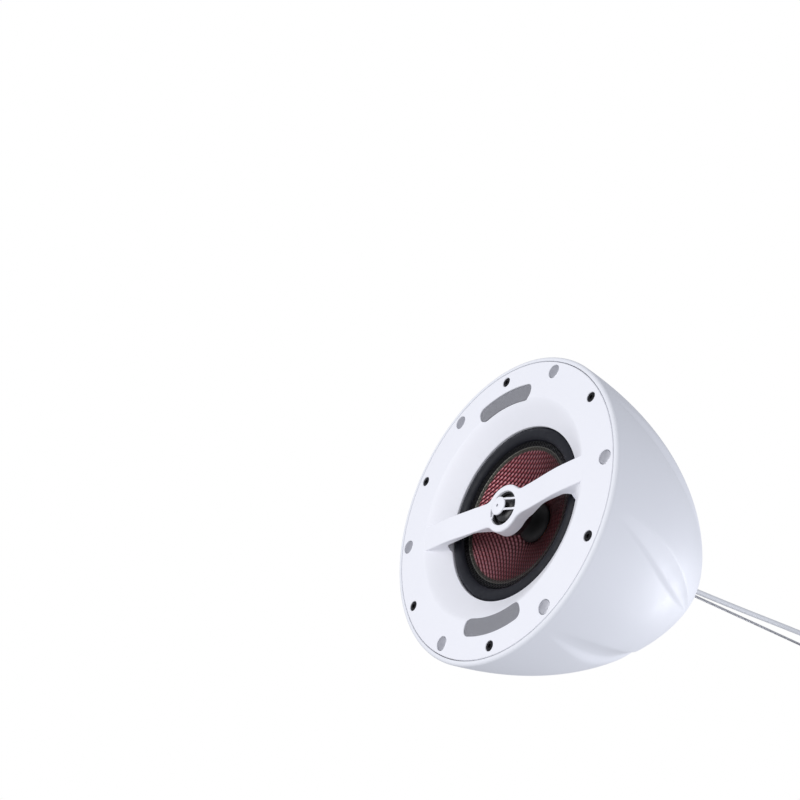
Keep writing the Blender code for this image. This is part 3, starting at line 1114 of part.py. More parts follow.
def make_ceiling_cup():
    corner = [(CUP_R - CUP_ROUND * (1 - math.cos(a)), CUP_Z + CUP_ROUND * (1 - math.sin(a)))
              for a in (0.0, math.pi / 6, math.pi / 3, math.pi / 2)]
    inner = CUP_ROUND - CUP_WALL
    hollow = [(CUP_R - CUP_ROUND + inner * math.cos(a), CUP_Z + CUP_ROUND - inner * math.sin(a))
              for a in (math.pi / 2, math.pi / 4, 0.0)]
    bore = ANCHOR_R + SEAT
    cup = turned("ceiling_cup", [(CUP_R, CEILING_Z)] + corner + [(bore, CUP_Z), (bore, CUP_Z + CUP_WALL)]
                 + hollow + [(CUP_R - CUP_WALL, CEILING_Z)], WHITE_PAINT, steps=20)
    hole = prism("cup_hole", circle(GLAND_R + SEAT, 16), CUP_Z - OVERCUT, CUP_Z + CUP_WALL + OVERCUT,
                 at=(0.0, LEAD_TOP_Y, 0.0))
    combine(cup, [hole], "DIFFERENCE")
    flange_z = CUP_Z - SEAT
    front, end = flange_z - GLAND_FLANGE_THICK, CUP_Z + CUP_WALL + GLAND_LENGTH
    turned("lead_gland", [(LEAD_HOLE_R, front), (GLAND_FLANGE_R - GLAND_EDGE, front),
                          (GLAND_FLANGE_R, front + GLAND_EDGE), (GLAND_FLANGE_R, flange_z),
                          (GLAND_R, flange_z), (GLAND_R, end), (LEAD_HOLE_R, end)], WHITE_PVC,
           steps=12, at=(0.0, LEAD_TOP_Y, 0.0))
    holes = [circle(LEAD_HOLE_R + WIRE_GAP, 12, (0.0, LEAD_TOP_Y))]
    holes += [circle(FIXING_HOLE_R, 12, (side * FIXING_X, 0.0)) for side in (-1, 1)]
    flat("ceiling_plate", [circle(CUP_R - CUP_WALL - CEILING_PLATE_INSET, 24)] + holes,
         CEILING_Z - CEILING_PLATE_THICK, CEILING_Z, STEEL)


make_housing()
make_baffle()
make_face_fittings()
make_ports()
make_basket()
make_surround()
make_cone()
make_spider()
make_motor()
make_tweeter()
make_bracket()
make_transformer()
make_board()
make_leads()
make_hanging_gear()
make_ceiling_cup()
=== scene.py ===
# %% [markdown]
# # Pendant speaker
# A bell-shaped loudspeaker that hangs face down from a steel rope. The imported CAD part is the
# frame: every piece here stands where one of its nodes is, and moves with that node's body.

# %% Load the frame
import math

import bmesh
import bpy
from mathutils import Matrix, Vector


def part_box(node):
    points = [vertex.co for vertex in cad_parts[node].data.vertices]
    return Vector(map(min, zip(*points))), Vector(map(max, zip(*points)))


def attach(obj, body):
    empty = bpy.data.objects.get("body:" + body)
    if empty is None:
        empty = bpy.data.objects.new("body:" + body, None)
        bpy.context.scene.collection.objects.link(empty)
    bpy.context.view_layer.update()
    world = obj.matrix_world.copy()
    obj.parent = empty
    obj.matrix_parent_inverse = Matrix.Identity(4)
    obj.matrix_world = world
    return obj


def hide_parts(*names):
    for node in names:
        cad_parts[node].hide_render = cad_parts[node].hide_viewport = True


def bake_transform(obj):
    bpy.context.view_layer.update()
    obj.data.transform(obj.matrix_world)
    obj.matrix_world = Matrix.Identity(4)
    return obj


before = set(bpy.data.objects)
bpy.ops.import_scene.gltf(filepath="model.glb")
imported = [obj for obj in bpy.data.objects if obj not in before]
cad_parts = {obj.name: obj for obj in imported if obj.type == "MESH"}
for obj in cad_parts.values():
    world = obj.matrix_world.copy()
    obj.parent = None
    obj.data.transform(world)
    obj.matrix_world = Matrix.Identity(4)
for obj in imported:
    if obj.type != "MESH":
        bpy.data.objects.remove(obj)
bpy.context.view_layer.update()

FACE_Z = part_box("housing")[0][2]
print("face plane at z =", round(FACE_Z, 4), "with", len(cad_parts), "nodes")

# %% [markdown]
# ## Sizes
# Lengths are metres. Heights are measured from the face plane of the baffle towards the crown,
# and every finished mesh is moved down to that plane in one place. What the CAD part already knows
# is read from its nodes. The rest is named here once, so that a change moves all that depends on it.

# %% Sizes taken from the frame
def height(node, end):
    """The lowest (0) or highest (1) point of a CAD node, measured from the face plane."""
    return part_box(node)[end][2] - FACE_Z


def radius(node):
    """Half the width of a CAD node along Y, where no wire or tag stands out."""
    low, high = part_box(node)
    return (high[1] - low[1]) / 2.0


GAP = 0.0003    # between pieces that touch
CROWN_Z = height("housing", 1)
CEILING_Z = -FACE_Z
CUP_Z = height("ceiling_cup", 0)
BASKET_Z = height("woofer_basket", 0)
print("crown", round(CROWN_Z, 4), "cup", round(CUP_Z, 4), "basket", round(BASKET_Z, 4))

# %% Sizes of the bell
HOUSING_R = 0.1375
HOUSING_WALL = 0.0032
RIM_ROUND = 0.0028
MOUTH_R = 0.1334
LEDGE_Z, LEDGE_BACK_Z, LEDGE_IN_R = 0.0066, 0.0096, 0.1170
SIDE = ((HOUSING_R, RIM_ROUND), (0.1300, 0.0908), (0.0969, 0.1612), (0.0175, CROWN_Z - 0.0014))
CROWN_FLAT_R = 0.0122
CROWN_INSIDE_Z = CROWN_Z - 0.0060
GROMMET_FLANGE_R, GROMMET_R, GROMMET_FLANGE_THICK = 0.0106, 0.0092, 0.0012

FLUTES = 8
FLUTE_PHASE = math.radians(18.0)
FLUTE_TWIST = math.radians(26.5)
FLUTE_SPAN = math.radians(13.5)
FLUTE_DEPTH = 0.0040
FLUTE_FOOT_Z, FLUTE_TIP_Z = 0.0120, 0.1800
FLUTE_VALLEY = 0.57
print("bell", 2 * HOUSING_R, "across with", FLUTES, "flutes")

# %% Sizes of the face
OPENING_R = 0.0786
BAFFLE_R = 0.1328
FLANGE_THICK = 0.0045
DISH_R, DISH_DEPTH, LIP_THICK = 0.1010, 0.0152, 0.0023
DISH_ROUND, DISH_BEND_R, DISH_BEND_SHARE = 0.0029, 0.0094, 0.52
FACE_EDGE, LIP_EDGE, FLARE = 0.0011, 0.0005, 0.0004
SLOT_IN_R, SLOT_OUT_R = 0.0975, 0.1130
SLOT_HALF_ANGLE, SLOT_CORNER_R, SCREEN_INSET = math.radians(18.5), 0.0066, 0.0010
HOLE_CIRCLE_R, HOLE_COUNT = 0.1240, 12
SCREW_HOLE_R, SCREW_HOLE_DEPTH = 0.0045, 0.0025
MAGNET_R, MAGNET_INSET, MAGNET_THICK, DUCT_WALL = 0.0059, 0.0004, 0.0030, 0.0020
print("opening", 2 * OPENING_R, "face", 2 * BAFFLE_R)

# %% Sizes of the bridge, the guard and the drivers
ARM_HALF_WIDTH, ARM_FILLET_R = 0.01175, 0.0120
ARM_BACK_Z, ARM_ROOT_LENGTH = 0.0060, 0.0072
ARM_DISH_FILLET, ARM_FILLET_LEFT, ARM_FOOT_SINK = 0.0040, 0.6, 0.0005
ARM_FRONT_HUB_Z, ARM_FRONT_OUT_Z = 0.0050, 0.0002
ARM_RISE_END, ARM_RUN_OUT, ARM_SINK = -0.0020, 0.0050, 0.0012
ARM_EDGE, HUB_EDGE = 0.0011, 0.0020
HUB_R, HUB_FRONT_Z, HUB_BACK_Z = 0.0215, 0.0047, 0.0165
HUB_RAMP_RIGHT, HUB_RAMP_LEFT = 0.0400, 0.0220
HUB_MOUTH_R, HUB_MOUTH_THICK = 0.0152, 0.0023
TWEETER_R = 0.0189
GUARD_R, GUARD_FRONT_Z, GUARD_DOT_R, GUARD_CROWN, GUARD_THICK = 0.0082, -0.0013, 0.0013, 0.0009, 0.0021
GUARD_BAR_Y, GUARD_BAR_WIDTH, GUARD_BAR_THICK = 0.0048, 0.0020, 0.0016

ROLL_MIDDLE_R, ROLL_HALF, ROLL_HEIGHT, RUBBER = 0.07275, 0.00625, 0.0053, 0.0007
ROLL_FOOT_Z = 0.0200
CONE_R, CONE_EDGE_Z, CONE_NECK_R, CONE_NECK_Z, CONE_THICK = 0.0661, 0.0186, 0.0141, 0.0465, 0.00115
CONE = ((CONE_R, CONE_EDGE_Z), (0.0496, 0.0241), (0.0271, 0.0335), (CONE_NECK_R, CONE_NECK_Z))

ROPE_R, LEAD_R = 0.00125, 0.0025
LEAD_Y, LEAD_TOP_Y = -0.0052, -0.0140
print("tweeter", 2 * TWEETER_R, "cone", 2 * CONE_R)

# %% [markdown]
# ## Camera
# The camera was solved from the twelve holes of the face and from the rim. It stands below and in
# front of the speaker and is rolled, so the speaker lies on its side in the picture. Turning the
# camera, and not the object, leaves the speaker's axis upright, which keeps every profile simple.

# %% Camera
CAMERA_AT = Vector((0.7139, 0.4727, FACE_Z - 0.5905))
CAMERA_RIGHT = Vector((0.60435, -0.10041, 0.79036))
CAMERA_LOOK = Vector((-0.70802, -0.52258, 0.47500))
LENS, SENSOR = 55.17, 36.0

scene = bpy.context.scene
camera_data = bpy.data.cameras.new("camera")
camera_data.lens = LENS
camera_data.sensor_width = SENSOR
camera_data.clip_start = 0.01
camera = bpy.data.objects.new("camera", camera_data)
scene.collection.objects.link(camera)
back = -CAMERA_LOOK.normalized()
right = (CAMERA_RIGHT - CAMERA_RIGHT.dot(back) * back).normalized()
up = back.cross(right)
turn = Matrix((right, up, back)).transposed().to_4x4()
camera.matrix_world = Matrix.Translation(CAMERA_AT) @ turn
scene.camera = camera
scene.render.resolution_x = scene.render.resolution_y = 800
scene.view_settings.view_transform = "Standard"
print("camera at", [round(c, 3) for c in camera.location])

# %% [markdown]
# ## Materials
# Colours are sRGB hex values, converted in one place. Patterns are procedural and are measured in
# millimetres of the object itself, through its own coordinates. An image would need unwrapping and
# would blur close by, and a pattern stays sharp and keeps its real size.

# %% Material helpers
MM = 1000.0


def srgb(text):
    """A linear colour from an sRGB hex value."""
    values = [int(text[i:i + 2], 16) / 255.0 for i in (0, 2, 4)]
    return tuple(v / 12.92 if v <= 0.04045 else ((v + 0.055) / 1.055) ** 2.4 for v in values) + (1.0,)


def socket_of(node):
    """The first output of a node that is in use."""
    return next(socket for socket in node.outputs if socket.enabled)


def add(tree, kind, inputs=(), **settings):
    """A shader node with its settings. Each input is a value, a socket, or the node to take it from."""
    node = tree.nodes.new(kind)
    for key, value in settings.items():
        setattr(node, key, value)
    for key, value in dict(inputs).items():
        if isinstance(value, bpy.types.Node):
            value = socket_of(value)
        if isinstance(value, bpy.types.NodeSocket):
            tree.links.new(value, node.inputs[key])
        else:
            node.inputs[key].default_value = value
    return node


def shader_of(made):
    return made.node_tree.nodes["Principled BSDF"]


def material(name, colour, roughness, metallic=0.0, **sockets):
    """A Principled material; sockets are its other inputs, with spaces written as underscores."""
    made = bpy.data.materials.new(name)
    made.use_nodes = True
    inputs = shader_of(made).inputs
    inputs["Base Color"].default_value = srgb(colour)
    inputs["Roughness"].default_value = roughness
    inputs["Metallic"].default_value = metallic
    for key, value in sockets.items():
        inputs[key.replace("_", " ")].default_value = value
    return made


def feed(made, name, node):
    """Takes an input of the material's shader from a node."""
    made.node_tree.links.new(socket_of(node), shader_of(made).inputs[name])
    return made


def object_mm(tree, scale=1.0):
    """The object's own coordinates in millimetres, times a scale."""
    place = add(tree, "ShaderNodeTexCoord").outputs["Object"]
    return add(tree, "ShaderNodeVectorMath", {0: place, "Scale": MM * scale}, operation="SCALE")


def relief(made, pattern, height_mm):
    """Raises the surface by a pattern, whose value of 1 stands for this height."""
    raised = add(made.node_tree, "ShaderNodeBump", {"Height": pattern, "Distance": height_mm / MM,
                                                    "Strength": 1.0})
    return feed(made, "Normal", raised)


def grain(made, pitch_mm, height_mm):
    """A fine moulded or painted grain."""
    tree = made.node_tree
    noise = add(tree, "ShaderNodeTexNoise", {"Vector": object_mm(tree, 1.0 / pitch_mm), "Scale": 1.0,
                                             "Detail": 2.0, "Roughness": 0.5})
    return relief(made, noise, height_mm)


def vary(made, low, high, pitch_mm):
    """Roughness that wanders between two values, as handled and moulded surfaces do."""
    tree = made.node_tree
    noise = add(tree, "ShaderNodeTexNoise", {"Vector": object_mm(tree, 1.0 / pitch_mm), "Scale": 1.0})
    spread = add(tree, "ShaderNodeMapRange", {"Value": noise, "From Min": 0.3, "From Max": 0.7,
                                              "To Min": low, "To Max": high})
    return feed(made, "Roughness", spread)


# %% White mouldings
# Bell and baffle: white ABS out of a finely spark-eroded mould, satin.
white_bell = vary(grain(material("white_abs_bell", "EDEEF3", 0.50), 0.55, 0.012), 0.46, 0.56, 30.0)
white_face = vary(grain(material("white_abs_face", "F3F3F8", 0.40), 0.40, 0.006), 0.36, 0.44, 25.0)
# Ceiling cup and collar: white powder coat with slight orange peel.
white_paint = grain(material("white_powder_coat", "F0F0F2", 0.30), 1.6, 0.030)
# Lead, grommet and gland: soft white PVC.
white_pvc = vary(material("white_pvc", "E6E7EA", 0.38), 0.32, 0.46, 8.0)

# %% Dark parts
# Screws: black oxide steel. Basket: black powder coat.
black_oxide = vary(material("black_oxide_steel", "1B1B1E", 0.38, 0.75), 0.30, 0.50, 1.5)
black_coat = grain(material("black_powder_coat", "141416", 0.45), 1.2, 0.030)
# Port ducts and small covers: black injection-moulded plastic.
black_plastic = grain(material("black_moulded_plastic", "151518", 0.48), 0.4, 0.008)
# Dust cap: doped black paper, matt.
black_paper = grain(material("doped_black_paper", "0B0B0C", 0.68), 0.5, 0.03)
# Surround: butyl rubber, very finely grained, with a soft bluish sheen.
rubber = vary(grain(material("butyl_rubber", "10121B", 0.50, Specular_IOR_Level=0.28), 0.35, 0.010),
              0.44, 0.58, 6.0)
# Gaskets: closed-cell foam.
foam = grain(material("closed_cell_foam", "161616", 0.92), 0.5, 0.20)
# Tweeter dome: coated silk, nearly smooth, with a faint weave.
silk = material("coated_silk", "0E0E10", 0.30, Coat_Weight=0.4, Coat_Roughness=0.18)


def cross_weave(made, pitch_mm, height_mm, turn_degrees=0.0):
    """A plain weave in the XY plane. Returns the height, which thread is on top, and both threads."""
    tree = made.node_tree
    turned = add(tree, "ShaderNodeVectorRotate", {"Vector": object_mm(tree, math.pi / pitch_mm),
                                                  "Angle": math.radians(turn_degrees)},
                 rotation_type="Z_AXIS")
    split = add(tree, "ShaderNodeSeparateXYZ", {0: turned})
    wave_x = add(tree, "ShaderNodeMath", {0: split.outputs[0]}, operation="SINE")
    wave_y = add(tree, "ShaderNodeMath", {0: split.outputs[1]}, operation="SINE")
    along = add(tree, "ShaderNodeMath", {0: wave_y}, operation="ABSOLUTE")
    across = add(tree, "ShaderNodeMath", {0: wave_x}, operation="ABSOLUTE")
    checks = add(tree, "ShaderNodeMath", {0: wave_x, 1: wave_y}, operation="MULTIPLY")
    on_top = add(tree, "ShaderNodeMapRange", {"Value": checks, "From Min": -0.12, "From Max": 0.12})
    mixed = add(tree, "ShaderNodeMix", {"Factor": on_top, "A": across, "B": along})
    relief(made, mixed, height_mm)
    return mixed, on_top, along, across


cross_weave(silk, 0.45, 0.02)
print(len(bpy.data.materials), "white and dark materials")

# %% [markdown]
# ### Woven cone
# The cone is cloth of red and black fibre, set in resin, with a metallic sheen. Thread by thread it
# would take hundreds of thousands of faces, so two crossed sine waves draw it and bump raises it.
# Its colour carries painted light: a painted highlight runs along the middle of each thread, the
# threads of one direction are painted lit on one half of the cone and those of the other direction
# on the other half, and painted shade turns all of them nearly black towards +X +Y. A real weave
# does all this by reflecting along its threads; here it is painted into the colour.

# %% Woven cone
# Outside the weave come the speckled backing, a painted highlight along its outer edge, and black
# beyond it, which is painted shade under the roll of the surround.
WEAVE_PITCH, WEAVE_TURN, THREAD_HEIGHT = 2.7, 25.0, 0.30
# DARK_SIDE to DARK_SHARE: the painted shade of the weave towards +X +Y. HALVES_BLEND: where the painted
# light passes from one half of the cone to the other.
DARK_SIDE, DARK_FROM, DARK_TO, DARK_SHARE = (0.834, 0.552, 0.0), -8.0, 34.0, 0.52
BAND_IN_R, BAND_OUT_R, PAINTED_GLINT_WIDTH, HALVES_BLEND = 58.5, 61.8, 0.7, 14.0
woven = material("woven_fibre_cone", "7A2F36", 0.36, 0.88)
top_thread, along, across = cross_weave(woven, WEAVE_PITCH, THREAD_HEIGHT, WEAVE_TURN)[1:]
tree = woven.node_tree
split = add(tree, "ShaderNodeSeparateXYZ", {0: object_mm(tree)})
half = add(tree, "ShaderNodeMapRange", {"Value": split.outputs[1], "From Min": -HALVES_BLEND,
                                        "From Max": HALVES_BLEND})
# Painted highlight: the middle of each thread is lit, along one direction on each half of the cone.
lines = add(tree, "ShaderNodeMix", {"Factor": half, "A": along, "B": across})
under = add(tree, "ShaderNodeMath", {0: 1.0, 1: top_thread}, operation="SUBTRACT")
dashes = add(tree, "ShaderNodeMix", {"Factor": half, "A": top_thread, "B": under})
# Painted shade: a thread that runs underneath keeps 0.72 of its light. Painted light: the +Y half is a
# quarter brighter.
dash_light = add(tree, "ShaderNodeMath", {0: dashes, 1: 0.28, 2: 0.72}, operation="MULTIPLY_ADD")
half_light = add(tree, "ShaderNodeMath", {0: half, 1: 0.24, 2: 0.92}, operation="MULTIPLY_ADD")
# Painted shade: the weave falls to DARK_SHARE of its light towards DARK_SIDE.
toward = add(tree, "ShaderNodeVectorMath", {0: object_mm(tree), 1: DARK_SIDE}, operation="DOT_PRODUCT")
painted_shade_share = add(tree, "ShaderNodeMapRange", {"Value": toward, "From Min": DARK_FROM, "From Max": DARK_TO,
                                          "To Min": 1.0, "To Max": DARK_SHARE})
thread_light = add(tree, "ShaderNodeMath", {0: dash_light, 1: half_light}, operation="MULTIPLY")
woven_light = add(tree, "ShaderNodeMath", {0: lines, 1: thread_light}, operation="MULTIPLY")
lit = add(tree, "ShaderNodeMath", {0: woven_light, 1: painted_shade_share}, operation="MULTIPLY")
# The ramp turns this painted light into colour, from near black through red to a pink painted highlight.
shade = add(tree, "ShaderNodeValToRGB", {"Fac": lit})
ramp = shade.color_ramp
ramp.elements[0].position, ramp.elements[0].color = 0.20, srgb("10070A")
ramp.elements[1].position, ramp.elements[1].color = 0.98, srgb("AE7A80")
middle_stop = ramp.elements.new(0.56)
middle_stop.color = srgb("6C2930")
flat_place = add(tree, "ShaderNodeVectorMath", {0: object_mm(tree), 1: (1.0, 1.0, 0.0)},
                 operation="MULTIPLY")
reach = add(tree, "ShaderNodeVectorMath", {0: flat_place}, operation="LENGTH")


def beyond(r, softness, inside, outside):
    """One colour inside a radius on the cone, and another outside it."""
    edge = add(tree, "ShaderNodeMapRange", {"Value": reach, "From Min": r - softness,
                                            "From Max": r + softness})
    return add(tree, "ShaderNodeMix", {"Factor": edge, "A": inside, "B": outside}, data_type="RGBA")


speckle = add(tree, "ShaderNodeTexNoise", {"Vector": object_mm(tree, 1.0 / 0.8), "Scale": 1.0,
                                           "Detail": 1.0})
backing = add(tree, "ShaderNodeMix", {"Factor": speckle, "A": srgb("161513"), "B": srgb("4C4A43")},
              data_type="RGBA")
# Painted highlight: a pale ring at the outer edge of the speckled backing.
pale = beyond(BAND_OUT_R - PAINTED_GLINT_WIDTH, 0.2, backing, srgb("62615B"))
# Painted shade: black from BAND_OUT_R outwards, under the roll of the surround.
band = beyond(BAND_OUT_R, 0.2, pale, srgb("08080A"))
feed(woven, "Base Color", beyond(BAND_IN_R, 0.5, shade, band))
print("weave of", WEAVE_PITCH, "mm in", len(tree.nodes), "nodes")

# %% Metals
# Magnets and hardware: bright nickel plate. Rope: galvanised steel wire. Plates: zinc-plated steel.
nickel = vary(material("nickel_plate", "C9C9CF", 0.32, 1.0), 0.26, 0.42, 3.0)
rope_steel = vary(material("galvanised_wire", "B4B4B8", 0.36, 1.0), 0.28, 0.46, 0.8)
zinc = vary(material("zinc_plate", "A8AAB0", 0.36, 1.0), 0.30, 0.48, 12.0)
# Ferrite ring: sintered, dull and slightly pitted.
ferrite = grain(material("sintered_ferrite", "34322F", 0.78), 0.8, 0.05)
RIDGE_HEIGHT = 0.12


def wound(made, pitch_mm, axis):
    """Turns of wire side by side, as ridges along one of the object's axes."""
    tree = made.node_tree
    split = add(tree, "ShaderNodeSeparateXYZ", {0: object_mm(tree, math.tau / pitch_mm)})
    ridges = add(tree, "ShaderNodeMath", {0: split.outputs[axis]}, operation="SINE")
    return relief(made, ridges, RIDGE_HEIGHT)


# Inductor and voice coil: enamelled copper wire. Transformer coil: wire under amber tape.
copper = wound(material("enamelled_copper", "B4653A", 0.30, 1.0), 0.8, 2)
tape = wound(material("amber_tape", "B08A34", 0.40, Coat_Weight=0.5), 1.2, 2)
# Laminated transformer core: thin sheets, stacked along Y.
laminations = wound(material("laminated_steel", "77787C", 0.45, 1.0), 0.7, 1)

# %% Cloth, board and wire
# Spider: resin-treated cotton.
spider_cloth = material("treated_cotton", "A8842E", 0.85)
cross_weave(spider_cloth, 0.7, 0.10)
# Circuit board: green solder mask over glass fibre.
board_green = vary(material("solder_mask", "1F5A34", 0.30, Coat_Weight=0.5), 0.25, 0.40, 4.0)
# Hook-up wire: red PVC.
red_wire = material("red_pvc", "A32025", 0.38)
# Screen in the ports: a grey wire mesh over dark cloth, whose open squares are darker.
screen = material("port_screen_mesh", "8F8F96", 0.50, 0.35)
threads = cross_weave(screen, 0.85, 0.18, 12.0)[0]
tree = screen.node_tree
open_part = add(tree, "ShaderNodeMapRange", {"Value": threads, "From Min": 0.25, "From Max": 0.75})
mesh_colour = add(tree, "ShaderNodeMix", {"Factor": open_part, "A": srgb("3E3E42"), "B": srgb("ACACB2")},
                  data_type="RGBA")
feed(screen, "Base Color", mesh_colour)
print(len(bpy.data.materials), "materials")

# %% [markdown]
# ## Making meshes
# Most of a loudspeaker is turned, so most pieces are spun from a profile of (radius, height) points,
# which gives even rows of faces. What isn't round is lofted through sections, or cut with Booleans.
# Everything is finished by the same function, which moves it to the face plane, shades it and lets
# it ride on its body.

# %% Mesh helpers
SPEAKER, CONE_BODY = "speaker", "cone"
SHARP = math.radians(32.0)


def finish_piece(name, bm, look, nodes=(), body=SPEAKER):
    """Makes the mesh an object at the origin that stands for CAD nodes and rides on a body."""
    bmesh.ops.translate(bm, verts=bm.verts, vec=(0.0, 0.0, FACE_Z))
    bmesh.ops.recalc_face_normals(bm, faces=bm.faces)
    mesh = bpy.data.meshes.new(name)
    bm.to_mesh(mesh)
    bm.free()
    mesh.shade_smooth()
    mesh.set_sharp_from_angle(angle=SHARP)
    obj = bpy.data.objects.new(name, mesh)
    scene.collection.objects.link(obj)
    mesh.materials.append(look)
    if body is not None:
        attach(obj, body)
    if nodes:
        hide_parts(*nodes)
    return obj


def spun(profile, steps=96, at=(0.0, 0.0), start=0.0):
    """A turned mesh about a vertical line: an open profile starts and ends on it."""
    bm = bmesh.new()
    line = [bm.verts.new((r, 0.0, z)) for r, z in profile]
    pairs = list(zip(line, line[1:]))
    if profile[0][0] > 0.0:
        pairs.append((line[-1], line[0]))
    edges = [bm.edges.new(pair) for pair in pairs]
    bmesh.ops.spin(bm, geom=line + edges, axis=(0, 0, 1), cent=(0, 0, 0), angle=math.tau,
                   steps=steps, use_merge=True)
    bmesh.ops.remove_doubles(bm, verts=bm.verts, dist=1e-7)
    bmesh.ops.rotate(bm, verts=bm.verts, cent=(0, 0, 0), matrix=Matrix.Rotation(start, 3, "Z"))
    bmesh.ops.translate(bm, verts=bm.verts, vec=(at[0], at[1], 0.0))
    return bm


def lofted(rings, capped=True):
    """A solid through sections of equally many points. One without caps runs back to its start."""
    bm = bmesh.new()
    loops = [[bm.verts.new(p) for p in ring] for ring in rings]
    for a, b in zip(loops, loops[1:] if capped else loops[1:] + loops[:1]):
        for i in range(len(a)):
            j = (i + 1) % len(a)
            bm.faces.new((a[i], a[j], b[j], b[i]))
    if capped:
        bm.faces.new(loops[0])
        bm.faces.new(loops[-1])
    return bm


def merged(meshes):
    """Several meshes that lie clear of each other, as one."""
    whole = bmesh.new()
    for bm in meshes:
        data = bpy.data.meshes.new("part")
        bm.to_mesh(data)
        bm.free()
        whole.from_mesh(data)
        bpy.data.meshes.remove(data)
    return whole


def cut_or_join(base, tools):
    """Runs Booleans on a mesh: tools are (operation, mesh) pairs, and all are freed."""
    def holder(name, bm):
        data = bpy.data.meshes.new(name)
        bmesh.ops.recalc_face_normals(bm, faces=bm.faces)
        bm.to_mesh(data)
        bm.free()
        obj = bpy.data.objects.new(name, data)
        scene.collection.objects.link(obj)
        return obj

    body = holder("boolean_base", base)
    helpers = []
    for operation, bm in tools:
        helper = holder("boolean_tool", bm)
        modifier = body.modifiers.new("boolean", "BOOLEAN")
        modifier.operation = operation
        modifier.solver = "EXACT"
        modifier.object = helper
        helpers.append(helper)
    bpy.context.view_layer.update()
    result = bpy.data.meshes.new_from_object(body.evaluated_get(bpy.context.evaluated_depsgraph_get()))
    out = bmesh.new()
    out.from_mesh(result)
    for obj in [body] + helpers:
        bpy.data.objects.remove(obj, do_unlink=True)
    bmesh.ops.remove_doubles(out, verts=out.verts, dist=2e-6)
    bmesh.ops.dissolve_degenerate(out, edges=out.edges, dist=1e-6)
    return out


def bezier(p, t):
    s = 1.0 - t
    weights = (s ** 3, 3 * s * s * t, 3 * s * t * t, t ** 3)
    return tuple(sum(w * q[k] for w, q in zip(weights, p)) for k in (0, 1))


def polar(r, angle):
    return r * math.cos(angle), r * math.sin(angle)


def quarter(count):
    """The angles of a quarter turn, in equal steps."""
    return [math.pi / 2 * i / count for i in range(count + 1)]


def ease(t):
    t = min(max(t, 0.0), 1.0)
    return t * t * (3.0 - 2.0 * t)


def rounded(corner, before, after, size, count=4):
    """Points that round a corner of a profile, between its neighbours."""
    def toward(p):
        d = Vector((p[0] - corner[0], p[1] - corner[1]))
        return Vector(corner) + d.normalized() * size
    a, b, c = toward(before), Vector(corner), toward(after)
    out = []
    for i in range(count + 1):
        t = i / count
        out.append(tuple((1 - t) ** 2 * a + 2 * t * (1 - t) * b + t * t * c))
    return out


def button(r, front, back, size, inner=0.0):
    """The profile of a flat disc or ring whose front edge is rounded."""
    return ([(inner, front)] + rounded((r, front), (inner, front), (r, back), size)
            + [(r, back), (inner, back)])


# %% [markdown]
# ## Rope and lead
# The rope is held taut by the speaker's weight and ends in the anchor inside the ceiling cup. The
# lead runs beside it and goes into the cup through a gland. Both have the route of the CAD part.
# The rope's strands are lofted as ridges of one skin, because six strands are too thin to be seen
# apart. The lead is a smooth cable, which is just what a curve with a round bevel gives.

# %% Rope
ROPE_LOW = height("steel_rope", 0)
ROPE_TOP = height("steel_rope", 1)
STRANDS, ROPE_LAY = 6, 0.0130
ROPE_RING, ROPE_SIDES = 0.0008, 36


def rope_section(turn_angle, z):
    """A ring of six round strands, closed over the grooves between them."""
    strand_r = ROPE_R / 3.0
    ring = []
    for i in range(ROPE_SIDES):
        a = math.tau * i / ROPE_SIDES
        off = (a + math.pi / STRANDS) % (math.tau / STRANDS) - math.pi / STRANDS
        centre = 2.0 * strand_r
        reach = centre * math.cos(off) + math.sqrt(max(strand_r ** 2 - (centre * math.sin(off)) ** 2, 0.0))
        ring.append((*polar(reach, a + turn_angle), z))
    return ring


count = int((ROPE_TOP - ROPE_LOW) / ROPE_RING)
rings = []
for i in range(count + 1):
    z = ROPE_LOW + (ROPE_TOP - ROPE_LOW) * i / count
    rings.append(rope_section(math.tau * (z - ROPE_LOW) / ROPE_LAY, z))
rope = finish_piece("hanging_rope", lofted(rings), rope_steel, ["steel_rope"])
print("rope", round(ROPE_TOP - ROPE_LOW, 4), "m with", count, "rings")

# %% Lead
def smooth_route(knots, count):
    """Points on a smooth curve through the knots, in equal steps of its parameter."""
    knots = [Vector(k) for k in knots]
    ends = [knots[0] * 2 - knots[1]] + knots + [knots[-1] * 2 - knots[-2]]
    out = []
    for i in range(count):
        t = i / (count - 1) * (len(knots) - 1)
        k = min(int(t), len(knots) - 2)
        u = t - k
        a, b, c, d = ends[k:k + 4]
        out.append(0.5 * (2 * b + (c - a) * u + (2 * a - 5 * b + 4 * c - d) * u * u
                          + (3 * b - a - 3 * c + d) * u ** 3))
    return out


ROPE_FREE = CUP_Z - CROWN_Z
lead_knots = [(0.0, LEAD_Y, CROWN_INSIDE_Z)]
for up_share, across in ((0.02, 0.0), (0.14, 0.09), (0.39, 0.34), (0.66, 0.68), (0.91, 0.955), (0.99, 1.0)):
    lead_knots.append((0.0, LEAD_Y + (LEAD_TOP_Y - LEAD_Y) * across, CROWN_Z + ROPE_FREE * up_share))
lead_knots += [(0.0, LEAD_TOP_Y, CUP_Z + (CEILING_Z - CUP_Z) * 0.4), (0.0, LEAD_TOP_Y, CEILING_Z - GAP)]
lead_points = [p + Vector((0.0, 0.0, FACE_Z)) for p in smooth_route(lead_knots, 36)]
lead_curve = bpy.data.curves.new("white_lead", "CURVE")
lead_curve.dimensions = "3D"
lead_curve.bevel_depth = LEAD_R
lead_curve.bevel_resolution = 6
lead_curve.use_fill_caps = True
spline = lead_curve.splines.new("POLY")
spline.points.add(len(lead_points) - 1)
for point, co in zip(spline.points, lead_points):
    point.co = (*co, 1.0)
spline.use_smooth = True
lead = bpy.data.objects.new("white_lead", lead_curve)
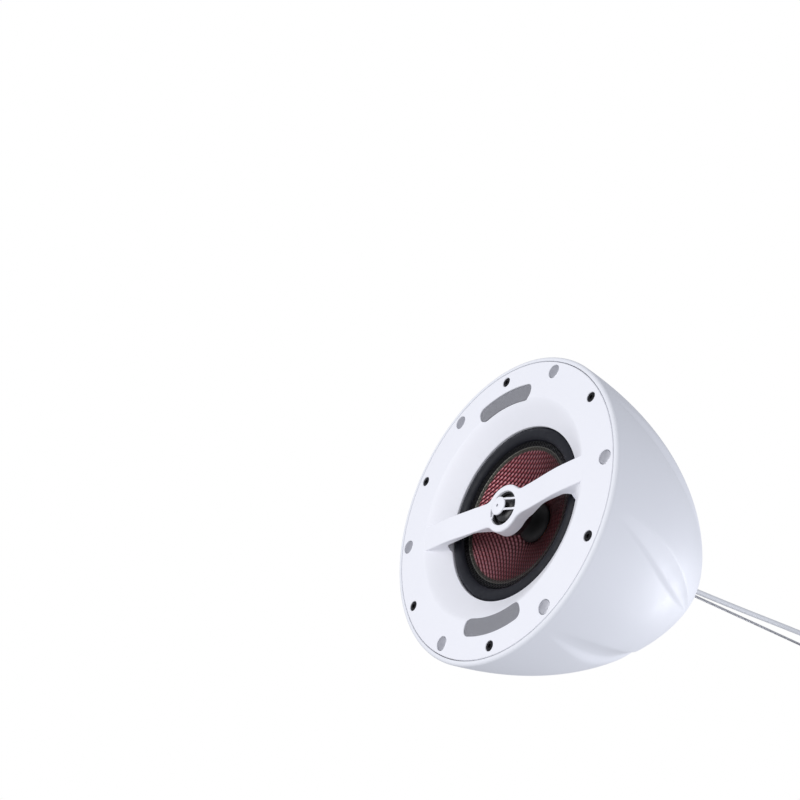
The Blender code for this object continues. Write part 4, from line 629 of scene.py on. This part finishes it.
scene.collection.objects.link(lead)
lead_curve.materials.append(white_pvc)
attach(lead, SPEAKER)
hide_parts("speaker_lead")

# %% [markdown]
# ## Bell housing
# The bell is one moulding with eight leaf-shaped flutes. Booleans could cut them, but would leave
# slivers in a surface as smooth as this. Here a plain bell is spun, and its columns of vertices are
# then turned to follow the twisted flutes, so that each crisp edge lies on one of them.

# %% Housing
BAND_COLUMNS, PLAIN_COLUMNS = 22, 24
SIDE_ROWS = 96


def flute_share(z):
    return min(max((z - FLUTE_FOOT_Z) / (FLUTE_TIP_Z - FLUTE_FOOT_Z), 0.0), 1.0)


def leaf(z):
    return max(math.sin(math.pi * flute_share(z) ** 1.2), 0.0)


def flute_depth(z, u):
    """How deep the flute is at height z, a share u of the way across from its crisp edge."""
    if not 0.0 < u < 1.0:
        return 0.0
    if u < FLUTE_VALLEY:
        wall = math.sin(math.pi / 2 * u / FLUTE_VALLEY)
    else:
        wall = math.cos(math.pi / 2 * (u - FLUTE_VALLEY) / (1.0 - FLUTE_VALLEY)) ** 2
    return FLUTE_DEPTH * leaf(z) * wall


def column_angle(column, z):
    """Where a column of the mesh stands at height z, and its share across the flute."""
    sector = math.tau / FLUTES
    flute, place = divmod(column, BAND_COLUMNS + PLAIN_COLUMNS)
    share = flute_share(z)
    start = FLUTE_PHASE + flute * sector + FLUTE_TWIST * (0.15 * share + 0.85 * share ** 3)
    span = FLUTE_SPAN * (0.3 + 0.7 * leaf(z))
    if place < BAND_COLUMNS:
        u = place / (BAND_COLUMNS - 1)
        return start + u * span, u
    rest = (place - BAND_COLUMNS + 1) / (PLAIN_COLUMNS + 1)
    return start + span + rest * (sector - span), 1.0


def side_inside(t):
    """The side curve moved in by the wall's thickness."""
    before, after = bezier(SIDE, t - 0.001), bezier(SIDE, t + 0.001)
    dr, dz = after[0] - before[0], after[1] - before[1]
    length = math.hypot(dr, dz)
    r, z = bezier(SIDE, t)
    return r - HOUSING_WALL * dz / length, z + HOUSING_WALL * dr / length


def housing_profile():
    recess_z, recess_r = CROWN_Z - GROMMET_FLANGE_THICK - GAP, GROMMET_FLANGE_R + GAP
    hole_r = GROMMET_R + GAP
    crown = [(hole_r, recess_z), (recess_r, recess_z)]
    crown += rounded((recess_r, CROWN_Z), (recess_r, recess_z), (CROWN_FLAT_R, CROWN_Z), 0.0004, 3)
    crown += rounded((CROWN_FLAT_R + 0.001, CROWN_Z), (recess_r, CROWN_Z), SIDE[3], 0.0016, 5)
    side = [bezier(SIDE, 1.0 - i / SIDE_ROWS) for i in range(SIDE_ROWS + 1)]
    rim = [(HOUSING_R - RIM_ROUND * (1 - math.cos(a)), RIM_ROUND * (1 - math.sin(a)))
           for a in quarter(8)[1:]]
    mouth = rounded((MOUTH_R, 0.0), (HOUSING_R, 0.0), (MOUTH_R, LEDGE_Z), 0.0008)
    mouth += [(MOUTH_R, LEDGE_Z), (LEDGE_IN_R, LEDGE_Z), (LEDGE_IN_R, LEDGE_BACK_Z)]
    inside = [side_inside(0.04 + 0.93 * i / 24) for i in range(25)]
    return crown + side + rim + mouth + inside + [(hole_r, CROWN_INSIDE_Z)]


columns = FLUTES * (BAND_COLUMNS + PLAIN_COLUMNS)
bm = spun(housing_profile(), columns)
for vert in bm.verts:
    r = math.hypot(vert.co.x, vert.co.y)
    turn_angle = math.atan2(vert.co.y, vert.co.x) % math.tau
    column = round(turn_angle / math.tau * columns) % columns
    angle, u = column_angle(column, vert.co.z)
    vert.co.x, vert.co.y = polar(r - flute_depth(vert.co.z, u), angle)
bell = finish_piece("bell_housing", bm, white_bell, ["housing"])
print("housing", len(bell.data.polygons), "faces")

# %% [markdown]
# ## Baffle
# One white moulding: the flat face with its dish, the bridge with the tweeter's hub, and the
# guard over the dome. The face is spun. The bridge is lofted, because its width, front and back all
# change along its length. Booleans then join the two and cut the slots and holes, and every cutter is
# flared where it meets the face, so no edge is razor sharp.

# %% Dish
LIP = (OPENING_R, DISH_DEPTH)
DISH_SHAPE = ((DISH_R, 0.0), (DISH_R - DISH_ROUND, 0.0),
              (OPENING_R + DISH_BEND_R, DISH_DEPTH * DISH_BEND_SHARE), LIP)
DISH_CURVE = [bezier(DISH_SHAPE, i / 30) for i in range(31)]


def dish_front(r):
    """Depth of the dish's surface at a radius."""
    for (r0, z0), (r1, z1) in zip(DISH_CURVE, DISH_CURVE[1:]):
        if r1 <= r <= r0:
            return z0 + (z1 - z0) * (r0 - r) / (r0 - r1)
    return 0.0 if r > DISH_R else DISH_DEPTH


print("the dish is", round(dish_front((DISH_R + OPENING_R) / 2) * MM, 1), "mm deep halfway to its lip")


def baffle_profile():
    """The dish is nearly straight, so that its lip shows all round, and rounds off into the face."""
    seat_z = DISH_DEPTH + LIP_THICK
    back_start = SLOT_IN_R - 0.0026
    rear = ((0.0860, seat_z), (0.0868, seat_z * 0.68), (back_start - 0.0030, FLANGE_THICK + 0.0026),
            (back_start, FLANGE_THICK))
    edge = [(BAFFLE_R, FLANGE_THICK)]
    edge += rounded((BAFFLE_R, 0.0), (BAFFLE_R, FLANGE_THICK), (DISH_R, 0.0), FACE_EDGE, 6)
    return (edge + DISH_CURVE[:-1] + rounded(LIP, DISH_CURVE[-2], (OPENING_R, seat_z), LIP_EDGE, 3)
            + [(OPENING_R, seat_z)] + [bezier(rear, i / 8) for i in range(9)])


# %% Bridge
# The arms meet the edge of the opening at MEET_X. Inside it they are free, outside it they run out
# into the dish.
MEET_X = math.sqrt(OPENING_R ** 2 - ARM_HALF_WIDTH ** 2)
print("each arm is", round(MEET_X - HUB_R, 4), "long from the hub to the opening's edge")


def arm_half_width(x):
    """Half the width of the bridge's outline: the hub's circle, a fillet, then a straight arm."""
    centre_x = math.sqrt((HUB_R + ARM_FILLET_R) ** 2 - (ARM_HALF_WIDTH + ARM_FILLET_R) ** 2)
    touch_x = centre_x * HUB_R / (HUB_R + ARM_FILLET_R)
    x = abs(x)
    if x < touch_x:
        return math.sqrt(HUB_R ** 2 - x ** 2)
    if x >= centre_x:
        return ARM_HALF_WIDTH
    return ARM_HALF_WIDTH + ARM_FILLET_R - math.sqrt(ARM_FILLET_R ** 2 - (x - centre_x) ** 2)


def arm_front(x):
    """Rises from the hub's ring to the face along the arm, and sinks into the face at its end."""
    x = abs(x)
    start, end = HUB_R * 0.9, OPENING_R + ARM_RISE_END
    rise = ease((x - start) / (end - start))
    sink = ease((x - DISH_R + 0.4 * ARM_RUN_OUT) / (1.4 * ARM_RUN_OUT))
    return ARM_FRONT_HUB_Z + (ARM_FRONT_OUT_Z - ARM_FRONT_HUB_Z) * rise + ARM_SINK * sink


def arm_back(x):
    """Deep behind the hub, thin along the arm, and curved into the lip of the opening at its end."""
    ramp = HUB_RAMP_RIGHT if x > 0.0 else HUB_RAMP_LEFT
    x, lip_z = abs(x), DISH_DEPTH - 0.0004
    if x >= MEET_X:
        return max(dish_front(x) + 0.0012, FLANGE_THICK - 0.0004)
    hub = (1.0 - ease((x - HUB_R * 0.75) / ramp)) * (HUB_BACK_Z - ARM_BACK_Z)
    share = max((x - MEET_X) / ARM_ROOT_LENGTH + 1.0, 0.0)
    return ARM_BACK_Z + hub + (lip_z - ARM_BACK_Z) * (1.0 - math.sqrt(1.0 - share ** 2))


def arm_section(x):
    """The bridge's section at x: flat in front, round at its edges, and filleted into the dish."""
    h, front, back = arm_half_width(x), arm_front(x), arm_back(x)
    soft = 1.0 - ease((abs(x) - HUB_R * 0.8) / 0.012)
    r = min(ARM_EDGE + (HUB_EDGE - ARM_EDGE) * soft, (back - front) / 3)
    wide, foot, rise = 0.0, front + 0.8 * (back - front), 0.3 * (back - front)
    if abs(x) >= MEET_X:
        limit = ARM_DISH_FILLET if x > 0.0 else ARM_DISH_FILLET * ARM_FILLET_LEFT
        wide = max(min(limit, 0.8 * (dish_front(math.hypot(x, h)) - front - r)), 0.0)
        foot = max(dish_front(math.hypot(x, h + wide)) + ARM_FOOT_SINK, front + r + 0.0006)
        rise = min(max(wide, 0.0002), foot - front - r - 0.0001)
    half = [(h - r + r * math.sin(a), front + r - r * math.cos(a))
            for a in quarter(7)]
    half += [(h + wide * (1 - math.cos(a)), foot - rise + rise * math.sin(a))
             for a in quarter(8)]
    half.append((h + wide, back))
    return [(x, -y, z) for y, z in reversed(half)] + [(x, y, z) for y, z in half]


def bridge_stations():
    """Where the sections stand: close together round the hub and at the arms' roots."""
    inner_x, end_x = MEET_X - 0.0002, DISH_R + ARM_RUN_OUT
    half = [HUB_R * math.sin(a) for a in quarter(26)[1:]]
    half += [HUB_R + (0.036 - HUB_R) * i / 14 for i in range(1, 15)]
    half += [0.036 + (inner_x - ARM_ROOT_LENGTH - 0.036) * i / 16 for i in range(1, 17)]
    half += [inner_x - ARM_ROOT_LENGTH * (1.0 - math.sin(a)) for a in quarter(16)[1:]]
    half += [MEET_X + (end_x - MEET_X) * i / 28 for i in range(29)]
    return [-x for x in reversed(half)] + [0.0] + half


# %% Cutters
SLOT_STEPS, HOLE_STEPS = 6, 40


def slot_ring(middle_angle, grow, z):
    """A slot's outline at a height: bent round the axis, with rounded corners, all grown outwards."""
    inner, outer, corner = SLOT_IN_R - grow, SLOT_OUT_R + grow, SLOT_CORNER_R + grow
    half_angle = SLOT_HALF_ANGLE + grow / ((inner + outer) / 2.0)
    outline = []
    for r, side, start in ((outer - corner, 1, 0), (inner + corner, 1, 90),
                           (inner + corner, -1, 180), (outer - corner, -1, 270)):
        centre = middle_angle + side * (half_angle - corner / r)
        for step in range(SLOT_STEPS + 1):
            turn_angle = math.radians(start + 90.0 * step / SLOT_STEPS)
            outline.append(polar(r + corner * math.cos(turn_angle),
                                 centre + corner * math.sin(turn_angle) / r))
        if start in (90, 270):
            between = inner if start == 90 else outer
            sign = 1 if start == 90 else -1
            for i in range(1, 16):
                outline.append(polar(between, middle_angle + sign * half_angle * 0.66 * (1 - i / 8)))
    return [(x, y, z) for x, y in outline]


def slot_cutter(middle_angle):
    return lofted([slot_ring(middle_angle, grow, z) for z, grow in (
        (-0.004, FLARE * 3), (-0.0001, FLARE), (FLARE * 0.3, FLARE * 0.5), (FLARE, 0.0),
        (FLANGE_THICK + 0.01, 0.0))])


def hole_cutter(r, depth, angle, through_r=0.0):
    """A flared pin, turned by part of a step so that no flat of it lines up with another mesh."""
    profile = [(0.0, -0.003), (r + FLARE * 2, -0.003), (r + FLARE, -0.0001), (r + FLARE * 0.4, FLARE * 0.4),
               (r, FLARE), (r, depth)]
    if through_r:
        profile += [(through_r, depth), (through_r, FLANGE_THICK + 0.002), (0.0, FLANGE_THICK + 0.002)]
    else:
        profile += [(0.0, depth)]
    return spun(profile, HOLE_STEPS, polar(HOLE_CIRCLE_R, angle), start=math.tau / HOLE_STEPS * 0.37)


def hole_angles(first):
    return [math.tau * i / HOLE_COUNT for i in range(first, HOLE_COUNT, 2)]


# %% Guard
def guard_disc():
    """A flat crowned disc with a small hole in its middle."""
    front, r = GUARD_FRONT_Z, GUARD_R
    profile = [(GUARD_DOT_R, front + 0.0002), (GUARD_DOT_R + 0.0002, front)]
    profile += [(r * math.sin(a), front + GUARD_CROWN * (1 - math.cos(a)))
                for a in (math.radians(10 + 58 * i / 8) for i in range(9))]
    profile += [(r - 0.0001, front + 0.0010), (r, front + 0.0016), (r - 0.0001, front + GUARD_THICK),
                (GUARD_DOT_R, front + GUARD_THICK)]
    return spun(profile, 73)


SQUARISH = 0.8


def guard_bars():
    """Two rounded bars that rise from the hub's ring to the disc and go on to the other side."""
    end_x = math.sqrt(HUB_MOUTH_R ** 2 - GUARD_BAR_Y ** 2) + 0.0012
    bars = []
    for side in (-1, 1):
        rings = []
        for i in range(33):
            x = end_x * (i / 16 - 1.0)
            climb = ease((abs(x) - GUARD_R * 0.55) / (end_x - GUARD_R * 0.55))
            top = GUARD_FRONT_Z + 0.0011 + (HUB_FRONT_Z - GUARD_FRONT_Z - 0.0007) * climb
            y, w, t = side * GUARD_BAR_Y, GUARD_BAR_WIDTH / 2, GUARD_BAR_THICK / 2
            ring = []
            for k in range(12):
                a = math.tau * (k + 0.5) / 12
                ring.append((x, y + w * math.copysign(abs(math.cos(a)) ** SQUARISH, math.cos(a)),
                             top + t - t * math.copysign(abs(math.sin(a)) ** SQUARISH, math.sin(a))))
            rings.append(ring)
        bars.append(lofted(rings))
    return merged(bars)


# %% Baffle
def make_baffle():
    pocket_r, pocket_z = TWEETER_R + GAP, HUB_FRONT_Z + HUB_MOUTH_THICK
    r, z = HUB_MOUTH_R, HUB_FRONT_Z
    bore = spun([(0.0, -0.006), (r + 0.0022, -0.006), (r + 0.0013, z - 0.0001), (r + 0.0006, z + 0.0002),
                 (r + 0.0001, z + 0.0009), (r, pocket_z), (pocket_r, pocket_z),
                 (pocket_r, HUB_BACK_Z + 0.01), (0.0, HUB_BACK_Z + 0.01)], start=0.021)
    cutters = [slot_cutter(math.pi / 2), slot_cutter(-math.pi / 2), bore]
    cutters += [hole_cutter(SCREW_HOLE_R, SCREW_HOLE_DEPTH, a, through_r=0.0023) for a in hole_angles(1)]
    pocket = MAGNET_INSET + MAGNET_THICK + GAP
    cutters += [hole_cutter(MAGNET_R + GAP, pocket, a) for a in hole_angles(0)]
    return cut_or_join(spun(baffle_profile(), 242, start=0.004),
                       [("UNION", lofted([arm_section(x) for x in bridge_stations()])),
                        ("DIFFERENCE", merged(cutters)),
                        ("UNION", guard_disc()), ("UNION", guard_bars())])


baffle = finish_piece("baffle_moulding", make_baffle(), white_face, ["baffle"])
weighted = baffle.modifiers.new("weighted_normals", "WEIGHTED_NORMAL")
weighted.keep_sharp = True
bm = bmesh.new()
bm.from_mesh(baffle.data)
baffle_volume = bm.calc_volume()
bm.free()
assert baffle_volume > 0.00015, "the baffle lost its face in a cut"
print("baffle", len(baffle.data.polygons), "faces,", round(baffle_volume * 1e6), "cubic centimetres")

# %% [markdown]
# ## Fittings of the face
# The screws that hold the baffle and flat magnets take turns round the rim. They sit in recesses of
# the face, a little under it. The ports end in slots with a screen of fine mesh, whose threads are a
# pattern, since they would be far too many to model.

# %% Screws, magnets and port screens
SHANK_R, SCREW_END_Z = 0.0017, 0.0170


def screw(angle):
    """A socket-head screw that nearly fills its recess."""
    head_r, front, seat = SCREW_HOLE_R - GAP, 0.0004, SCREW_HOLE_DEPTH - GAP
    profile = button(head_r, front, seat, 0.0007)[:-1]
    profile += [(SHANK_R, seat), (SHANK_R, SCREW_END_Z), (0.0, SCREW_END_Z)]
    x, y = polar(HOLE_CIRCLE_R, angle)
    socket = spun([(0.0, -0.002), (0.0019, -0.002), (0.0019, front + 0.0014), (0.0, front + 0.0017)], 6,
                  (x, y), start=angle)
    return cut_or_join(spun(profile, 32, (x, y)), [("DIFFERENCE", socket)])


for i, angle in enumerate(hole_angles(1), 1):
    finish_piece(f"face_screw_{i}", screw(angle), black_oxide, [f"baffle_screw_{i}"])
for i, angle in enumerate(hole_angles(0), 1):
    disc = button(MAGNET_R, MAGNET_INSET, MAGNET_INSET + MAGNET_THICK, 0.0006)
    finish_piece(f"face_magnet_{i}", spun(disc, 40, polar(HOLE_CIRCLE_R, angle)), nickel,
                 [f"grille_magnet_{i}"])
for i, angle in enumerate((math.pi / 2, -math.pi / 2), 1):
    mesh = lofted([slot_ring(angle, -GAP, z) for z in (SCREEN_INSET, height(f"port_screen_{i}", 1))])
    finish_piece(f"port_mesh_{i}", mesh, screen, [f"port_screen_{i}"])
    low, high = height(f"port_duct_{i}", 0), height(f"port_duct_{i}", 1)
    tube = [slot_ring(angle, grow, z)
            for grow, z in ((DUCT_WALL, low), (DUCT_WALL, high), (0.0, high), (0.0, low))]
    finish_piece(f"port_tube_{i}", lofted(tube, capped=False), black_plastic, [f"port_duct_{i}"])
print("fittings", len(hole_angles(0)) + len(hole_angles(1)))

# %% [markdown]
# ## Woofer
# The surround is a half roll of rubber round a shallow cone. It could be one piece that bends, but
# its outer edge is glued down and mustn't stretch. So it is split at the crest of the roll: the outer
# half stays with the basket, and the inner half is a piece of its own that rides on no body.

# %% Surround
ROLL_POINTS = 26


def roll_arc(grow, first, last):
    """Points of the roll between two angles, measured from its outer foot over the crest."""
    out = []
    for i in range(ROLL_POINTS + 1):
        a = first + (last - first) * i / ROLL_POINTS
        out.append((ROLL_MIDDLE_R + (ROLL_HALF + grow) * math.cos(a),
                    ROLL_FOOT_Z - (ROLL_HEIGHT + grow) * math.sin(a)))
    return out


def cone_front(r):
    low, high = 0.0, 1.0
    for _ in range(30):
        middle = (low + high) / 2.0
        if bezier(CONE, middle)[0] > r:
            low = middle
        else:
            high = middle
    return bezier(CONE, low)[1]


lip_r = ROLL_MIDDLE_R + ROLL_HALF + 0.0055
crest = math.pi / 2
outer = [(lip_r, ROLL_FOOT_Z), (lip_r, ROLL_FOOT_Z - RUBBER), (ROLL_MIDDLE_R + ROLL_HALF + 0.0003,
         ROLL_FOOT_Z - RUBBER)]
outer += roll_arc(0.0, 0.13, crest) + roll_arc(-RUBBER, crest, 0.0)
finish_piece("surround_outer", spun(outer, 160), rubber, ["woofer_surround"])

behind = CONE_THICK + 2 * GAP
lip = [(CONE_R - 0.0002, cone_front(CONE_R - 0.0002) + behind),
       (CONE_R - 0.0038, cone_front(CONE_R - 0.0038) + behind)]
under = [(r, z + RUBBER) for r, z in reversed(lip)]
inner = roll_arc(0.0, crest, math.pi - 0.07) + lip + under + roll_arc(-RUBBER, math.pi, crest)
surround_inner = finish_piece("surround_inner", spun(inner, 160), rubber, body=None)
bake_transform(surround_inner)
print("surround in two halves")

# %% Cone and dust cap
# The cone ends 2 mm short of its neck, under the dust cap, so that the spider has room at full travel.
front = [bezier(CONE, i / 36) for i in range(35)]
back_line = [(r, z + CONE_THICK) for r, z in front]
finish_piece("woven_cone", spun(front + back_line[::-1], 180), woven, ["woofer_cone"], CONE_BODY)
CAP_R = radius("dust_cap")
cap_low, cap_high = height("dust_cap", 0), height("dust_cap", 1)
cap = [(CAP_R * math.sin(a), cap_high - 0.0003 - (cap_high - cap_low - 0.0003) * math.cos(a))
       for a in quarter(20)]
cap_inside = [(r * 0.95, z + 0.0007) for r, z in cap[:-2]]
finish_piece("centre_cap", spun(cap + [(CAP_R - 0.0009, cap_high)] + cap_inside[::-1]),
             black_paper, ["dust_cap"], CONE_BODY)
print("cone", round(2 * CONE_R, 4), "across, dust cap", round(2 * CAP_R, 4))

# %% [markdown]
# ## Tweeter
# A coated silk dome behind the guard, with a black plate round it. Dome and rim are one profile, as
# the real film is pressed in one piece, so there is no seam between them.

# %% Tweeter
plate_z = height("tweeter_plate", 0)
dome_low, dome_foot = height("tweeter_dome", 0), height("tweeter_plate", 1) + GAP
DOME_R = 0.0125
plate = [(DOME_R + 0.0013, plate_z + 0.0004), (DOME_R + 0.0018, plate_z), (TWEETER_R, plate_z),
         (TWEETER_R, plate_z + 0.0017), (DOME_R + 0.0023, plate_z + 0.0017)]
finish_piece("tweeter_ring", spun(plate), black_plastic, ["tweeter_plate"])
dome = [(DOME_R * math.sin(a), dome_foot - (dome_foot - dome_low) * math.cos(a))
        for a in quarter(24)]
film = [(r * 0.94, z + 0.0006) for r, z in dome[:-1]]
skirt = [(TWEETER_R, dome_foot), (TWEETER_R, dome_foot + 0.0006), (DOME_R - 0.0003, dome_foot + 0.0006)]
finish_piece("silk_dome", spun(dome + skirt + film[::-1]), silk, ["tweeter_dome"])
print("tweeter dome stands", round((dome_foot - dome_low) * MM, 1), "mm high")

# %% [markdown]
# ## Crown and ceiling fitting
# The grommet closes the crown. The cup, its collar and the gland hang below the ceiling plate. All
# are turned, and the holes that lie beside the axis are cut afterwards.

# %% Grommet, cup, collar and gland
def stadium_cutter(r, y_low, y_high, low, high):
    turns = [math.pi * i / 20 for i in range(21)]
    outline = [(r * math.cos(a), y_high + r * math.sin(a)) for a in turns]
    outline += [(-r * math.cos(a), y_low - r * math.sin(a)) for a in turns]
    return lofted([[(x, y, z) for x, y in outline] for z in (low, high)])


flange_z = CROWN_Z - GROMMET_FLANGE_THICK
profile = button(GROMMET_FLANGE_R, CROWN_Z, flange_z, 0.0006)[:-1]
profile += [(GROMMET_R, flange_z), (GROMMET_R, CROWN_INSIDE_Z), (0.0, CROWN_INSIDE_Z)]
entry = stadium_cutter(LEAD_R + GAP, LEAD_Y, -0.0009, CROWN_INSIDE_Z - 0.002, CROWN_Z + 0.002)
finish_piece("crown_grommet", cut_or_join(spun(profile, 72), [("DIFFERENCE", entry)]), white_pvc,
             ["cable_grommet"])

CUP_R, CUP_WALL, CUP_ROUND = 0.0300, 0.0018, 0.0050
ANCHOR_R, ANCHOR_FLANGE_R, ANCHOR_FLANGE_THICK = 0.0050, 0.0090, 0.0030
COLLAR_R, COLLAR_HEIGHT, COLLAR_ROUND = 0.0080, 0.0040, 0.0010
GLAND_R, GLAND_FLANGE_R, GLAND_FLANGE_THICK, GLAND_Y = 0.0039, 0.0050, 0.0012, LEAD_TOP_Y
corner = [(CUP_R - CUP_ROUND * (1 - math.cos(a)), CUP_Z + CUP_ROUND * (1 - math.sin(a)))
          for a in quarter(10)]
inner_round = CUP_ROUND - CUP_WALL
hollow = [(CUP_R - CUP_ROUND + inner_round * math.cos(a), CUP_Z + CUP_ROUND - inner_round * math.sin(a))
          for a in quarter(6)[::-1]]
bore_r = ANCHOR_R + GAP
cup = [(CUP_R, CEILING_Z)] + corner + [(bore_r, CUP_Z), (bore_r, CUP_Z + CUP_WALL)] + hollow
cup += [(CUP_R - CUP_WALL, CEILING_Z)]
hole = spun([(0.0, CUP_Z - 0.002), (GLAND_R + GAP, CUP_Z - 0.002), (GLAND_R + GAP, CUP_Z + 0.006),
             (0.0, CUP_Z + 0.006)], 40, (0.0, GLAND_Y), start=0.05)
finish_piece("cup_shell", cut_or_join(spun(cup, 128), [("DIFFERENCE", hole)]), white_paint,
             ["ceiling_cup"])

top = CUP_Z - GAP
collar = button(COLLAR_R, top - COLLAR_HEIGHT, top, COLLAR_ROUND, bore_r)
finish_piece("collar_ring", spun(collar, 64), white_paint, ["cup_collar"])
hole_r, under_z = LEAD_R + GAP, top - GLAND_FLANGE_THICK
gland = [(hole_r, under_z)] + rounded((GLAND_FLANGE_R, under_z), (0.0, under_z),
                                      (GLAND_FLANGE_R, top), 0.0005, 3)
gland += [(GLAND_FLANGE_R, top), (GLAND_R, top), (GLAND_R, CUP_Z + CUP_WALL + 0.0020),
          (hole_r, CUP_Z + CUP_WALL + 0.0020)]
finish_piece("gland_ring", spun(gland, 48, (0.0, GLAND_Y)), white_pvc, ["lead_gland"])
anchor_low, anchor_top = height("rope_anchor", 0), height("rope_anchor", 1)
anchor = [(0.0, ROPE_TOP + GAP), (ROPE_R + GAP, ROPE_TOP + GAP), (ROPE_R + GAP, anchor_low)]
anchor += rounded((ANCHOR_R, anchor_low), (0.0, anchor_low), (ANCHOR_R, anchor_top), 0.0009)
flange_low = anchor_top - ANCHOR_FLANGE_THICK
anchor += [(ANCHOR_R, flange_low), (ANCHOR_FLANGE_R, flange_low), (ANCHOR_FLANGE_R, anchor_top),
           (0.0, anchor_top)]
finish_piece("anchor_gripper", spun(anchor, 64), nickel, ["rope_anchor"])
print("ceiling fitting from", round(anchor_low, 4), "to", round(CEILING_Z, 4))

# %% [markdown]
# ## Parts behind the face
# These are only seen when the speaker is taken apart. Their solids already have the shape of the
# real parts, so they keep it and get the material that each is made of.

# %% Materials of the inner parts
INNER = {
    foam: ["baffle_gasket", "woofer_gasket"],
    black_coat: ["woofer_basket", "tweeter_yoke"],
    black_oxide: [f"basket_screw_{i}" for i in range(1, 5)],
    copper: ["voice_coil", "inductor"],
    spider_cloth: ["spider"],
    zinc: ["top_plate", "yoke", "tweeter_pole", "transformer_bracket", "suspension_plate",
           "ceiling_plate"],
    ferrite: ["ferrite_magnet"],
    nickel: ["tweeter_magnet", "rope_stopper"],
    black_plastic: ["terminal_tag", "tweeter_cap", "capacitor"],
    red_wire: ["tweeter_lead", "woofer_lead"],
    laminations: ["transformer_core"],
    tape: ["transformer_coil"],
    board_green: ["crossover_board"],
    white_pvc: ["terminal_block", "lead_tail"],
}
for look, names in INNER.items():
    for name in names:
        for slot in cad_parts[name].material_slots:
            slot.material = look
print(sum(len(names) for names in INNER.values()), "CAD nodes painted")

# %% [markdown]
# ## Light and surroundings
# Soft light from all round, a key light below the face, two lamps for the side and the crown,
# and a pale floor far below that only takes shadows. Large lamps are used, because small ones would
# put hard highlights on white plastic. Directions are from the middle of the face.

# %% World
world = bpy.data.worlds.new("studio")
scene.world = world
world.use_nodes = True
tree = world.node_tree
tree.nodes.clear()
path = add(tree, "ShaderNodeLightPath")
SKY_STRENGTH = 0.54
soft = add(tree, "ShaderNodeBackground", {"Color": srgb("EDF0F8"), "Strength": SKY_STRENGTH})
white = add(tree, "ShaderNodeBackground", {"Color": (1.0, 1.0, 1.0, 1.0), "Strength": 1.0})
mix = add(tree, "ShaderNodeMixShader", {0: path.outputs["Is Camera Ray"], 1: soft, 2: white})
add(tree, "ShaderNodeOutputWorld", {0: mix})
print("sky", SKY_STRENGTH)

# %% Lamps
def area_lamp(name, direction, distance, size, power, colour="FFFFFF", toward_z=0.0):
    """A square lamp, seen from a point on the axis, that shines at that point."""
    data = bpy.data.lights.new(name, "AREA")
    data.shape = "SQUARE"
    data.size = size
    data.energy = power
    data.color = srgb(colour)[:3]
    lamp = bpy.data.objects.new(name, data)
    scene.collection.objects.link(lamp)
    away = Vector(direction).normalized()
    lamp.location = Vector((0.0, 0.0, FACE_Z + toward_z)) + away * distance
    lamp.rotation_euler = (-away).to_track_quat("-Z", "Y").to_euler()
    lamp.visible_camera = False
    print(name, power, "W at", [round(c, 2) for c in lamp.location])


area_lamp("key", (-0.06, 0.02, -1.0), 0.95, 0.90, 5.0)
area_lamp("side", (0.75, 0.60, 0.42), 1.5, 1.60, 7.4, "F3F6FF", 0.08)
area_lamp("top", (0.10, 0.10, 1.0), 1.2, 0.50, 5.0, "F6F8FF", 0.10)

# %% Floor
FLOOR_DROP, FLOOR_HALF = 1.1, 6.0
floor_mesh = bpy.data.meshes.new("floor")
bm = bmesh.new()
bmesh.ops.create_grid(bm, x_segments=1, y_segments=1, size=FLOOR_HALF)
bm.to_mesh(floor_mesh)
bm.free()
floor = bpy.data.objects.new("floor", floor_mesh)
floor.location = (0.0, 0.0, FACE_Z - FLOOR_DROP)
scene.collection.objects.link(floor)
floor_mesh.materials.append(material("pale_floor", "FFFFFF", 0.9))
floor.is_shadow_catcher = True
print("floor", FLOOR_DROP, "m below the face")
